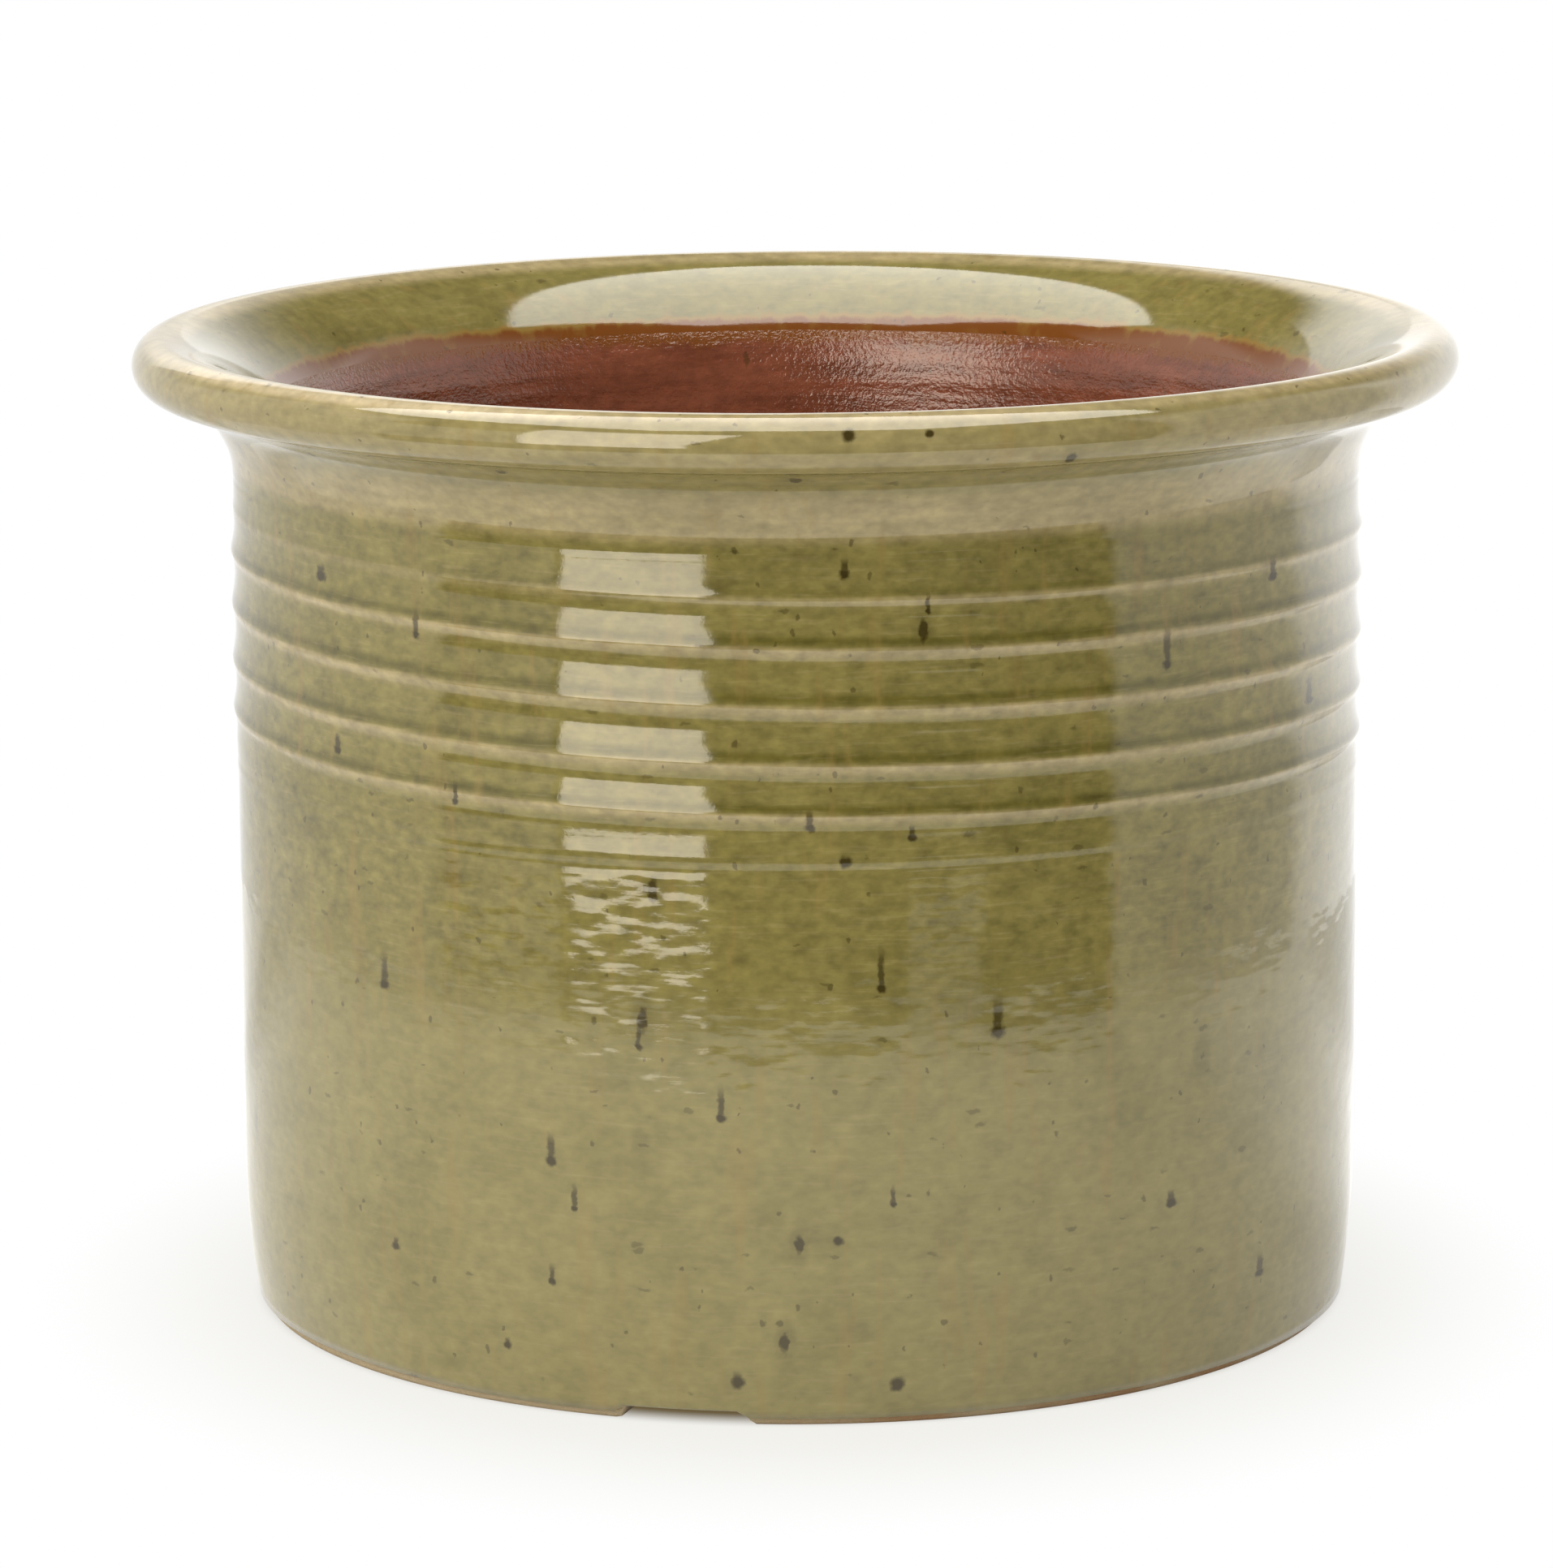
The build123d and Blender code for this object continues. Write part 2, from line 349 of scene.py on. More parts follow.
def wall_marks(section, turn, radius, height, outward):
    """Outward shift of the outside in millimetres, with its crest and pool masks, on a grid of points.

    It adds the finger ridges, a ring and a lift at the neck, the pot's slight unevenness and
    shallow rings on the lower wall. Outward is true where the section faces away from the axis.
    """
    ends = [section.wall + past for past in WALL_MARKS_END]
    on_wall = (1.0 - smooth_step(*ends, radius)) * outward
    rise, crest, pool = ridges(height, turn, section.ridge_depth)
    lift = NECK_LIFT * smooth_step(NECK_LIFT_FROM, NECK_LIFT_TO, height)
    uneven = slow_wave(turn, height * 0.25, SEED_WALL, 3)
    shift = (rise + lift) * on_wall
    from_ring = (height - NECK_RING_HEIGHT) / NECK_RING_WIDTH
    shift -= NECK_RING_DEPTH * np.exp(-(from_ring**2)) * on_wall
    swell = WALL_SWELL + WALL_UNEVENNESS * uneven
    shift += swell * on_wall * smooth_step(*WALL_SWELL_HEIGHTS, height)
    low = 1.0 - smooth_step(RIDGES_LOW - LOW_RINGS_FADE, RIDGES_LOW, height)
    wander = LOW_RINGS_WANDER * slow_wave(turn, height, SEED_RINGS, 3)
    rings = np.sin(height * LOW_RINGS_RATE + turn + wander)
    rings += FINE_RINGS_SHARE * np.sin(height * FINE_RINGS_RATE + 2.0 * turn + 2.0)
    shift += LOW_RINGS_DEPTH * rings * low * smooth_step(*LOW_RINGS_HEIGHTS, height) * on_wall
    return shift, crest * on_wall, pool * on_wall


def rim_lean(section, radius, height, turn):
    """How far the lip hangs lower on the left, in millimetres: a tilt that grows up to the lip."""
    side = -np.sin(turn) * radius
    lean = np.maximum(RIM_TILT * (RIM_TILT_MIDDLE - side), 0.0)
    return lean * smooth_step(section.neck_z - RIM_TILT_BELOW_NECK, section.bead_z, height)


# Meshes


def turns(columns):
    """The turns round the pot in radians, clockwise from above, with 0 at the front."""
    return np.arange(columns) / columns * math.tau


def lathe_mesh(name, radius, height, turn, closed, masks):
    """A closed mesh: row by row the section, column by column the turn round the axis.

    A vertex is (-radius sin turn, -radius cos turn, height). A closed section joins its last row to
    its first. An open one ends in a pole on the axis at either end.
    """
    rows, columns = radius.shape
    x = -radius * np.sin(turn)[None, :]
    y = -radius * np.cos(turn)[None, :]
    points = np.stack([x, y, height], 2).reshape(-1, 3) * MM
    row = np.arange(rows if closed else rows - 1)
    row, column = np.meshgrid(row, np.arange(columns), indexing="ij")
    over, along = (row + 1) % rows, (column + 1) % columns
    ways = ((row, column), (over, column), (over, along), (row, along))
    quads = np.stack([up * columns + across for up, across in ways], 2).reshape(-1, 4)
    corners, sizes = [quads.ravel()], [np.full(len(quads), 4)]
    if not closed:
        poles = np.array([[0.0, 0.0, height[0].mean()], [0.0, 0.0, height[-1].mean()]]) * MM
        points = np.concatenate([points, poles])
        here = np.arange(columns)
        there = (here + 1) % columns
        first, last = rows * columns, rows * columns + 1
        base = (rows - 1) * columns
        start = np.stack([np.full(columns, first), here, there], 1)
        end = np.stack([np.full(columns, last), base + there, base + here], 1)
        corners += [start.ravel(), end.ravel()]
        sizes += [np.full(columns, 3), np.full(columns, 3)]
    corners, sizes = np.concatenate(corners), np.concatenate(sizes)
    mesh = bpy.data.meshes.new(name)
    mesh.vertices.add(len(points))
    mesh.vertices.foreach_set("co", points.ravel())
    mesh.loops.add(len(corners))
    mesh.loops.foreach_set("vertex_index", corners.astype(np.int32))
    mesh.polygons.add(len(sizes))
    starts = np.concatenate([[0], np.cumsum(sizes)[:-1]])
    mesh.polygons.foreach_set("loop_start", starts.astype(np.int32))
    mesh.polygons.foreach_set("use_smooth", np.ones(len(sizes), bool))
    mesh.update(calc_edges=True)
    mesh.validate()
    for label, values in masks.items():
        attribute = mesh.attributes.new(label, "FLOAT", "POINT")
        flat = np.zeros(len(points), np.float32)
        flat[: rows * columns] = values.ravel()
        attribute.data.foreach_set("value", flat)
    return mesh


def place_piece(name, mesh, node, material):
    """Puts a piece in the scene in place of a CAD node, on the crock's only body."""
    piece = bpy.data.objects.new(name, mesh)
    bpy.context.collection.objects.link(piece)
    piece.data.materials.append(material)
    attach(piece, "root")
    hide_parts(node)
    return piece


# Turns of the foot's notches in degrees, and the round at a notch's sides
NOTCH_TURNS = (11.5, 131.5, 251.5)
NOTCH_ROUND = 0.9

# The wavy lower edge of the outer glaze, and the throwing rings inside
EDGE_WAVE = 0.45
EDGE_WAVE_TOP = 9.0
INSIDE_RINGS_FADE = (6.0, 22.0)
INSIDE_RINGS_PITCH = 8.5
INSIDE_RINGS_DEPTH = 0.22
INSIDE_RINGS_WANDER = 0.8
INSIDE_FINE_DEPTH = 0.03
INSIDE_FINE_RATE = 2.2
INSIDE_FINE_FADE = 8.0


def notch_lift(section, turn):
    """Height of the foot's edge over the table at each turn: the notches' own within their widths."""
    lifted = np.zeros(len(turn))
    half = section.notch_width / 2
    for notch in NOTCH_TURNS:
        apart = (turn - math.radians(notch) + math.pi) % math.tau - math.pi
        across = np.abs(apart) * section.wall
        lifted = np.maximum(lifted, 1.0 - smooth_step(half - NOTCH_ROUND, half, across))
    return section.notch_height * lifted


def spread(points, turn):
    """Radius, height and turn of every point of a section at every turn."""
    radius = np.repeat(points[:, :1], len(turn), 1)
    height = np.repeat(points[:, 1:], len(turn), 1)
    return radius, height, np.repeat(turn[None, :], len(points), 0)


def outside_surface(section, turn):
    """Radius, height and masks of the glazed outside: the section, with the marks along its normals."""
    points, normals = outside_section(section)
    outward = normals[:, :1] > 0.0
    radius, height, around = spread(points, turn)
    shift, crest, pool = wall_marks(section, around, radius, height, outward)
    edge = EDGE_WAVE * slow_wave(around, 0.0, SEED_EDGE, 9)
    edge = edge * (1.0 - smooth_step(section.bare_foot, EDGE_WAVE_TOP, height))
    edge = np.where(points[:, 1:] < EDGE_WAVE_TOP, edge, 0.0)
    lean = rim_lean(section, radius, height, around)
    from_end = np.arange(len(points), 0.0, -1.0)[:, None] * ROW_ROUND
    shift -= COAT_TUCK * (1.0 - smooth_step(0.0, COATS_OVERLAP, from_end))
    radius = radius + normals[:, :1] * shift
    height = height + normals[:, 1:] * shift + edge - lean
    height = np.maximum(height, notch_lift(section, turn)[None, :] * outward)
    return radius, height, normals, crest, pool


def inside_surface(section, turn):
    """Radius and height of the glazed inside: the section and its throwing rings, a spiral on the floor."""
    points, normals = inside_section(section)
    radius, height, around = spread(points, turn)
    steps = np.linalg.norm(np.diff(points, axis=0), axis=1)
    along = np.concatenate([[0.0], np.cumsum(steps)])[:, None]
    fade = smooth_step(*INSIDE_RINGS_FADE, along)
    wander = INSIDE_RINGS_WANDER * slow_wave(around, along * 0.3, SEED_INSIDE, 3)
    spiral = np.sin(math.tau * along / INSIDE_RINGS_PITCH - around + wander)
    fine = INSIDE_FINE_DEPTH * np.sin(along * INSIDE_FINE_RATE + 2 * around)
    fine = fine * smooth_step(0.0, INSIDE_FINE_FADE, along)
    shift = (INSIDE_RINGS_DEPTH * spiral - INSIDE_RINGS_DEPTH) * fade + fine
    shift -= COAT_TUCK * (1.0 - smooth_step(0.0, COATS_OVERLAP, along))
    shift += THROAT_SWELL * smooth_step(THROAT_SWELL_FROM, THROAT_SWELL_TO, along)
    lean = rim_lean(section, radius, height, around)
    radius = np.maximum(radius + normals[:, :1] * shift, POLE_RADIUS)
    height = height + normals[:, 1:] * shift - lean
    return radius, height, normals


def inset(radius, height, normals, depth):
    """A surface sunk by a depth along its section's normals."""
    return radius - normals[:, :1] * depth, height - normals[:, 1:] * depth


# Nodes


class Nodes:
    """Adds and links nodes in one tree."""

    def __init__(self, tree):
        self.tree = tree

    def add(self, kind, values=(), **settings):
        """A node with some of its settings set, and its inputs given by a name or a number."""
        node = self.tree.nodes.new(kind)
        for name, value in settings.items():
            setattr(node, name, value)
        for key, value in dict(values).items():
            self.feed(node.inputs[key], value)
        return node

    def feed(self, socket, value):
        """Links an output to an input, or sets the input's own value."""
        if isinstance(value, bpy.types.NodeSocket):
            self.tree.links.new(value, socket)
        else:
            socket.default_value = value

    def math(self, operation, first, second=0.0, third=0.0):
        """The result of a Math node."""
        node = self.add("ShaderNodeMath", {0: first, 1: second}, operation=operation)
        if operation == "MULTIPLY_ADD":
            self.feed(node.inputs[2], third)
        return node.outputs[0]

    def times(self, first, second):
        """The product of two values."""
        return self.math("MULTIPLY", first, second)

    def vector(self, operation, values, output="Vector"):
        """The result of a Vector Math node, with its inputs in their order."""
        node = self.add("ShaderNodeVectorMath", enumerate(values), operation=operation)
        return node.outputs[output]

    def split(self, vector, axis):
        """One coordinate of a vector."""
        return self.add("ShaderNodeSeparateXYZ", {0: vector}).outputs[axis]

    def span(self, value, low, high, start=0.0, end=1.0, smooth=True):
        """A value's place between two others, mapped to a start and an end."""
        node = self.add(
            "ShaderNodeMapRange",
            {"Value": value, "From Min": low, "From Max": high, "To Min": start, "To Max": end},
            interpolation_type="SMOOTHSTEP" if smooth else "LINEAR",
        )
        return node.outputs["Result"]

    def edge(self, value, place, soft, start=0.0, end=1.0):
        """A step at a place, softened by as much on either side."""
        return self.span(value, place - soft, place + soft, start, end)

    def mix(self, share, first, second, blend="MIX"):
        """A mix of two colours."""
        node = self.add("ShaderNodeMix", data_type="RGBA", blend_type=blend)
        self.feed(node.inputs["Factor"], share)
        self.feed(node.inputs[6], first)
        self.feed(node.inputs[7], second)
        return node.outputs[2]

    def tint(self, base, amount, share, value):
        """A base colour with a share of another one laid over it where a mask is."""
        return self.mix(self.times(amount, share), base, rgba(value))

    def stretched(self, vector, across, along):
        """Coordinates scaled across the pot and along its axis."""
        return self.vector("MULTIPLY", (vector, (across, across, along)))

    def frayed(self, vector, scale, reach):
        """Coordinates moved about by fine noise, by up to half a reach to each side."""
        noise = self.add("ShaderNodeTexNoise", {"Vector": vector, "Scale": scale, "Detail": 2.0})
        fray = self.vector("SUBTRACT", (noise.outputs["Color"], (0.5, 0.5, 0.5)))
        fray = self.add("ShaderNodeVectorMath", {0: fray, 3: reach}, operation="SCALE").outputs["Vector"]
        return self.vector("ADD", (vector, fray))

    def noise(self, vector, scale, detail=2.0, roughness=0.5):
        """A noise value from 0 to 1."""
        values = {"Vector": vector, "Scale": scale, "Detail": detail, "Roughness": roughness}
        return self.add("ShaderNodeTexNoise", values).outputs["Fac"]


def rgba(value):
    """A colour property as red, green, blue and one."""
    return (*value, 1.0)


def start_group(name, inputs, outputs):
    """A shader node group with named float or vector sockets, and its ends."""
    tree = bpy.data.node_groups.new(name, "ShaderNodeTree")
    for label, kind, default in inputs:
        socket = tree.interface.new_socket(label, in_out="INPUT", socket_type=kind)
        if default is not None:
            socket.default_value = default
    for label, kind in outputs:
        tree.interface.new_socket(label, in_out="OUTPUT", socket_type=kind)
    nodes = Nodes(tree)
    return nodes, nodes.add("NodeGroupInput"), nodes.add("NodeGroupOutput")


def group(nodes, name, values):
    """A group node in a material, with its own values."""
    node = nodes.add("ShaderNodeGroup", node_tree=bpy.data.node_groups[name])
    for label, value in values.items():
        nodes.feed(node.inputs[label], value)
    return node.outputs


FLOAT, VECTOR = "NodeSocketFloat", "NodeSocketVector"


def build_throwing_lines():
    """Fine level lines that the fingers and the grit leave: noise stretched round the pot."""
    nodes, start, end = start_group(
        "Throwing lines",
        [("Vector", VECTOR, None), ("Fineness", FLOAT, 1.0), ("Wobble", FLOAT, 0.4)],
        [("Lines", FLOAT), ("Broad", FLOAT)],
    )
    vector, fineness = start.outputs["Vector"], start.outputs["Fineness"]
    wobble = nodes.noise(nodes.stretched(vector, 60.0, 90.0), 1.0, 2.0)
    lift = nodes.times(wobble, start.outputs["Wobble"])
    level = nodes.add("ShaderNodeCombineXYZ", {"Z": lift}).outputs[0]
    moved = nodes.vector("ADD", (vector, level))
    fine = nodes.noise(nodes.stretched(moved, 150.0, 1900.0), fineness, 3.0, 0.6)
    broad = nodes.noise(nodes.stretched(moved, 60.0, 520.0), fineness, 2.0, 0.55)
    nodes.feed(end.inputs["Lines"], fine)
    nodes.feed(end.inputs["Broad"], broad)


# How finely and how far the edges of the random and of the placed specks are frayed
FRAY_SCALE, FRAY = 900.0, 0.0012
PLACED_FRAY_SCALE, PLACED_FRAY = 1100.0, 0.6 * FRAY

# The specks that stand out at the front, in millimetres: across, up, half width, and the streak's length
SPECKS_IN_FRONT = (
    (-62, 106.5, 0.77, 1.9), (-49, 101, 0.55, 4.0), (-60, 84, 0.55, 2.5), (-44, 80, 0.44, 3.1),
    (-54, 54, 0.66, 5.0), (-32, 34, 0.72, 4.4), (-20.5, 50, 0.44, 3.8), (-10, 41, 0.61, 4.8),
    (-29, 28, 0.44, 3.8), (-32, 18, 0.55, 2.5), (-53, 19, 0.55, 1.5), (-38, 8.5, 0.55, 1.2),
    (-8, 6, 0.88, 1.5), (10.5, 58, 0.61, 6.2), (25.5, 51.5, 0.94, 5.0), (1.5, 79, 0.66, 2.8),
    (6, 74.5, 0.83, 1.0), (14.5, 77.5, 0.61, 2.0), (6, 111.5, 0.66, 2.5), (16.5, 106.5, 0.38, 2.8),
    (47.5, 97, 0.66, 6.0), (62, 106, 0.61, 3.2), (67.5, 88, 0.61, 4.0), (12, 29.5, 0.44, 3.1),
    (48.5, 25.5, 0.66, 2.0), (61, 12.5, 0.61, 3.2), (12.5, 5.5, 0.99, 1.0), (6.5, 131, 0.83, 0.6),
    (16.5, 131, 0.5, 0.6), (5, 25, 0.66, 0.8),
)


def specks_in_front(nodes, position):
    """The mask of all the placed specks on the front of the pot."""
    moved = nodes.frayed(position, PLACED_FRAY_SCALE, PLACED_FRAY)
    total = 0.0
    for across, up, width, length in SPECKS_IN_FRONT:
        centre = (across * MM, 0.0, up * MM)
        values = {"Vector": moved, "Centre": centre, "Width": width * MM, "Length": length * MM}
        total = nodes.math("MAXIMUM", group(nodes, "Placed speck", values)["Mask"], total)
    return total


# A random speck's size as a share of its kind's, and its even core and its halo as shares of that size
SPECK_GROWTH = (0.45, 1.25)
SPECK_CORE = 0.55
SPECK_HALO = 2.6


def build_iron_specks():
    """Iron specks that bleed a little way down: cells stretched along the axis, kept where one is rare."""
    nodes, start, end = start_group(
        "Iron specks",
        [
            ("Vector", VECTOR, None),
            ("Cells per metre", FLOAT, 90.0),
            ("Size", FLOAT, 0.1),
            ("Rarity", FLOAT, 0.6),
            ("Across", FLOAT, 1.0),
            ("Along", FLOAT, 0.35),
        ],
        [("Speck", FLOAT), ("Halo", FLOAT)],
    )
    moved = nodes.frayed(start.outputs["Vector"], FRAY_SCALE, FRAY)
    across, along = start.outputs["Across"], start.outputs["Along"]
    shape = nodes.add("ShaderNodeCombineXYZ", {0: across, 1: across, 2: along}).outputs[0]
    shaped = nodes.vector("MULTIPLY", (moved, shape))
    scale = start.outputs["Cells per metre"]
    cells = nodes.add("ShaderNodeTexVoronoi", {"Vector": shaped, "Scale": scale, "Randomness": 1.0})
    rare = nodes.add("ShaderNodeSeparateColor", {0: cells.outputs["Color"]})
    kept = nodes.math("GREATER_THAN", rare.outputs[0], start.outputs["Rarity"])
    growth = nodes.span(rare.outputs[1], 0.0, 1.0, *SPECK_GROWTH, smooth=False)
    grown = nodes.times(start.outputs["Size"], growth)
    inner, outer = nodes.times(grown, SPECK_CORE), nodes.times(grown, SPECK_HALO)
    speck = nodes.span(cells.outputs["Distance"], inner, grown, 1.0, 0.0)
    halo = nodes.span(cells.outputs["Distance"], grown, outer, 1.0, 0.0)
    nodes.feed(end.inputs["Speck"], nodes.times(speck, kept))
    nodes.feed(end.inputs["Halo"], nodes.times(halo, kept))


def build_placed_speck():
    """One iron speck at a set place: a round blob with a thin streak above it, where it has run."""
    nodes, start, end = start_group(
        "Placed speck",
        [
            ("Vector", VECTOR, None),
            ("Centre", VECTOR, None),
            ("Width", FLOAT, 0.0006),
            ("Length", FLOAT, 0.003),
        ],
        [("Mask", FLOAT)],
    )
    vector, width, length = (start.outputs[label] for label in ("Vector", "Width", "Length"))
    away = nodes.vector("SUBTRACT", (vector, start.outputs["Centre"]))
    rise = nodes.split(away, "Z")
    front = nodes.math("LESS_THAN", nodes.split(vector, "Y"), 0.0)
    flat = nodes.vector("MULTIPLY", (away, (1.0, 0.0, 1.0)))
    reach = nodes.vector("LENGTH", (flat,), "Value")
    level = nodes.vector("LENGTH", (nodes.stretched(flat, 1.0, 0.0),), "Value")
    blob = nodes.span(reach, nodes.times(width, 0.55), nodes.times(width, 1.35), 1.0, 0.0)
    thread = nodes.span(level, nodes.times(width, 0.3), nodes.times(width, 0.95), 0.85, 0.0)
    above = nodes.span(rise, nodes.times(width, -1.0), 0.0)
    below = nodes.span(rise, nodes.times(length, 0.45), length, 1.0, 0.0)
    streak = nodes.times(nodes.times(thread, above), below)
    nodes.feed(end.inputs["Mask"], nodes.times(nodes.math("MAXIMUM", blob, streak), front))


CLOUD_SHARE = 0.50
FINE_SHARE = 0.65


def build_mottle():
    """The soft patches of an uneven glaze: broad noise, noise that runs down, and a tone about one."""
    nodes, start, end = start_group(
        "Glaze mottle",
        [("Vector", VECTOR, None)],
        [("Patches", FLOAT), ("Runs", FLOAT), ("Grain", FLOAT), ("Tone", FLOAT)],
    )
    vector = start.outputs["Vector"]
    cloud = nodes.noise(nodes.stretched(vector, 200.0, 300.0), 1.0, 3.0, 0.6)
    fine = nodes.noise(nodes.stretched(vector, 520.0, 820.0), 1.0, 2.0, 0.5)
    tone = nodes.math("MULTIPLY_ADD", cloud, CLOUD_SHARE, 1.0 - CLOUD_SHARE * 0.5 - FINE_SHARE * 0.5)
    nodes.feed(end.inputs["Tone"], nodes.math("MULTIPLY_ADD", fine, FINE_SHARE, tone))
    nodes.feed(end.inputs["Patches"], nodes.noise(nodes.stretched(vector, 60.0, 70.0), 1.0, 3.0, 0.55))
    nodes.feed(end.inputs["Runs"], nodes.noise(nodes.stretched(vector, 330.0, 45.0), 1.0, 3.0, 0.6))
    nodes.feed(end.inputs["Grain"], nodes.noise(vector, 1500.0, 2.0, 0.6))


def build_groups():
    """Builds the shared effects once."""
    build_throwing_lines()
    build_iron_specks()
    build_placed_speck()
    build_mottle()


GLAZE_TINT = (1.0, 0.97, 0.90, 1.0)
GLAZE_IOR, CLAY_IOR = 1.6, 1.5

# The kinds of iron specks and of lines in each material
LARGE_SPECKS = {"Cells per metre": 110.0, "Size": 0.085, "Rarity": 0.72, "Along": 0.4}
OLIVE_DOTS = {"Cells per metre": 420.0, "Size": 0.16, "Rarity": 0.62, "Along": 0.7}
OLIVE_DASHES = {"Cells per metre": 330.0, "Size": 0.17, "Rarity": 0.55, "Across": 0.5, "Along": 1.3}
RED_DOTS = {"Cells per metre": 300.0, "Size": 0.16, "Rarity": 0.6}
CLAY_DOTS = {"Cells per metre": 260.0, "Size": 0.16, "Rarity": 0.7}
OLIVE_LINES = {"Fineness": 1.0, "Wobble": 0.0012}
RED_LINES = {"Fineness": 0.7, "Wobble": 0.002}
CLAY_LINES = {"Fineness": 1.0, "Wobble": 0.001}

# Heights in metres where the lower wall's grey olive, partly painted bounce light, ends, and spans of
# height with a gain at either end
LOW_WALL = (0.046, 0.060)
TONE_LOW = (0.050, 0.066, 0.8, 1.4)
TONE_HIGH = (0.111, 0.121, 1.0, 0.75)
BROAD_RELIEF = (0.066, 0.078, 0.10, 0.05)
LUMP_RELIEF = (0.0720, 0.0735, 0.55, 0.0)

# Shares that the colours laid over the olive glaze have, and the depths of the relief in metres
DEEP_PATCHES, DEEP_POOLS = 0.28, 0.9
TAN_RUNS = 0.12
DASHES_SHARE, DOTS_SHARE, HALO_SHARE, SPECKS_SHARE, PLACED_SHARE = 0.42, 0.55, 0.18, 0.9, 0.97
OLIVE_RELIEF, RED_RELIEF, CLAY_RELIEF = 0.00012, 0.00008, 0.0002


def cleared(holder, output):
    """The nodes of a material or a world, with nothing in them but a new output."""
    holder.use_nodes = True
    holder.node_tree.nodes.clear()
    nodes = Nodes(holder.node_tree)
    return nodes, nodes.add(output)


def start_material(name, gloss):
    """An empty material with its Principled shader, and the piece's own coordinates."""
    material = bpy.data.materials.new(name)
    nodes, output = cleared(material, "ShaderNodeOutputMaterial")
    shader = nodes.add("ShaderNodeBsdfPrincipled")
    nodes.feed(output.inputs["Surface"], shader.outputs[0])
    shader.inputs["IOR"].default_value = GLAZE_IOR if gloss else CLAY_IOR
    if gloss:
        shader.inputs["Specular Tint"].default_value = GLAZE_TINT
    position = nodes.add("ShaderNodeTexCoord").outputs["Object"]
    return material, nodes, shader, position


def finish_material(nodes, shader, base, roughness, relief, depth):
    """Feeds a colour, a roughness and a relief of some depth to the shader."""
    bump = nodes.add("ShaderNodeBump", {"Strength": 1.0, "Distance": depth, "Height": relief})
    nodes.feed(shader.inputs["Base Color"], base)
    nodes.feed(shader.inputs["Roughness"], roughness)
    nodes.feed(shader.inputs["Normal"], bump.outputs[0])


def mask(nodes, label):
    """A mask that the piece carries on its points."""
    return nodes.add("ShaderNodeAttribute", attribute_name=label).outputs["Fac"]


def olive_material(colours):
    """The outer glaze: olive, deeper where it pools, tan where thin, with lines, runs and iron specks;
    painted light in a cream highlight on the lip and in a lower wall lightened for table bounce.
    """
    material, nodes, shader, position = start_material("Olive glaze", True)
    height = nodes.split(position, "Z")
    mottle = group(nodes, "Glaze mottle", {"Vector": position})
    lines = group(nodes, "Throwing lines", {"Vector": position, **OLIVE_LINES})
    kinds = (LARGE_SPECKS, OLIVE_DOTS, OLIVE_DASHES)
    specks, dots, dashes = (group(nodes, "Iron specks", {"Vector": position, **kind}) for kind in kinds)
    # The lower wall turns grey olive: a greyer glaze, lightened as painted bounce light from the table.
    low = nodes.span(height, *LOW_WALL, 1.0, 0.0)
    base = nodes.mix(low, rgba(colours.olive), rgba(colours.olive_grey_and_bounce))
    base = nodes.tint(base, nodes.span(mottle["Patches"], 0.42, 0.70), DEEP_PATCHES, colours.olive_deep)
    base = nodes.tint(base, mask(nodes, "pool"), DEEP_POOLS, colours.olive_deep)
    line_share = nodes.span(low, 0.0, 1.0, 0.16, 0.12)
    base = nodes.tint(base, nodes.span(lines["Lines"], 0.52, 0.72), line_share, colours.tan)
    base = nodes.tint(base, nodes.span(mottle["Runs"], 0.55, 0.8), TAN_RUNS, colours.tan)
    thin = nodes.times(mask(nodes, "thin"), nodes.span(lines["Broad"], 0.3, 0.7, 0.72, 1.1))
    base = nodes.mix(nodes.math("MINIMUM", thin, 1.0), base, rgba(colours.tan))
    # Painted highlight: cream on the left front of the lip's top.
    base = nodes.mix(mask(nodes, "lip_highlight"), base, rgba(colours.lip_highlight))
    gain = nodes.times(nodes.span(height, *TONE_LOW), nodes.span(height, *TONE_HIGH))
    tone = nodes.math("MULTIPLY_ADD", nodes.math("SUBTRACT", mottle["Tone"], 1.0), gain, 1.0)
    base = nodes.mix(1.0, base, tone, blend="MULTIPLY")
    amber = nodes.math("ADD", mask(nodes, "amber"), nodes.span(mottle["Runs"], 0.3, 0.7, -0.22, 0.22))
    base = nodes.mix(nodes.span(amber, 0.08, 0.50), base, rgba(colours.gold))
    base = nodes.mix(nodes.span(amber, 0.45, 0.95), base, rgba(colours.amber))
    spots = (
        (dashes["Speck"], DASHES_SHARE),
        (dots["Speck"], DOTS_SHARE),
        (specks["Halo"], HALO_SHARE),
        (specks["Speck"], SPECKS_SHARE),
        (specks_in_front(nodes, position), PLACED_SHARE),
    )
    for spot, share in spots:
        base = nodes.tint(base, spot, share, colours.iron)
    line_height = nodes.times(lines["Lines"], nodes.span(low, 0.0, 1.0, 0.02, 0.03))
    broad = nodes.times(lines["Broad"], nodes.span(height, *BROAD_RELIEF))
    relief = nodes.math("ADD", line_height, broad)
    relief = nodes.math("ADD", relief, nodes.times(mottle["Grain"], 0.03))
    lumps = nodes.noise(nodes.stretched(position, 190.0, 400.0), 1.0, 1.0, 0.5)
    relief = nodes.math("MULTIPLY_ADD", lumps, nodes.span(height, *LUMP_RELIEF), relief)
    roughness = nodes.span(mottle["Patches"], 0.3, 0.7, 0.045, 0.08)
    finish_material(nodes, shader, base, roughness, relief, OLIVE_RELIEF)
    return material


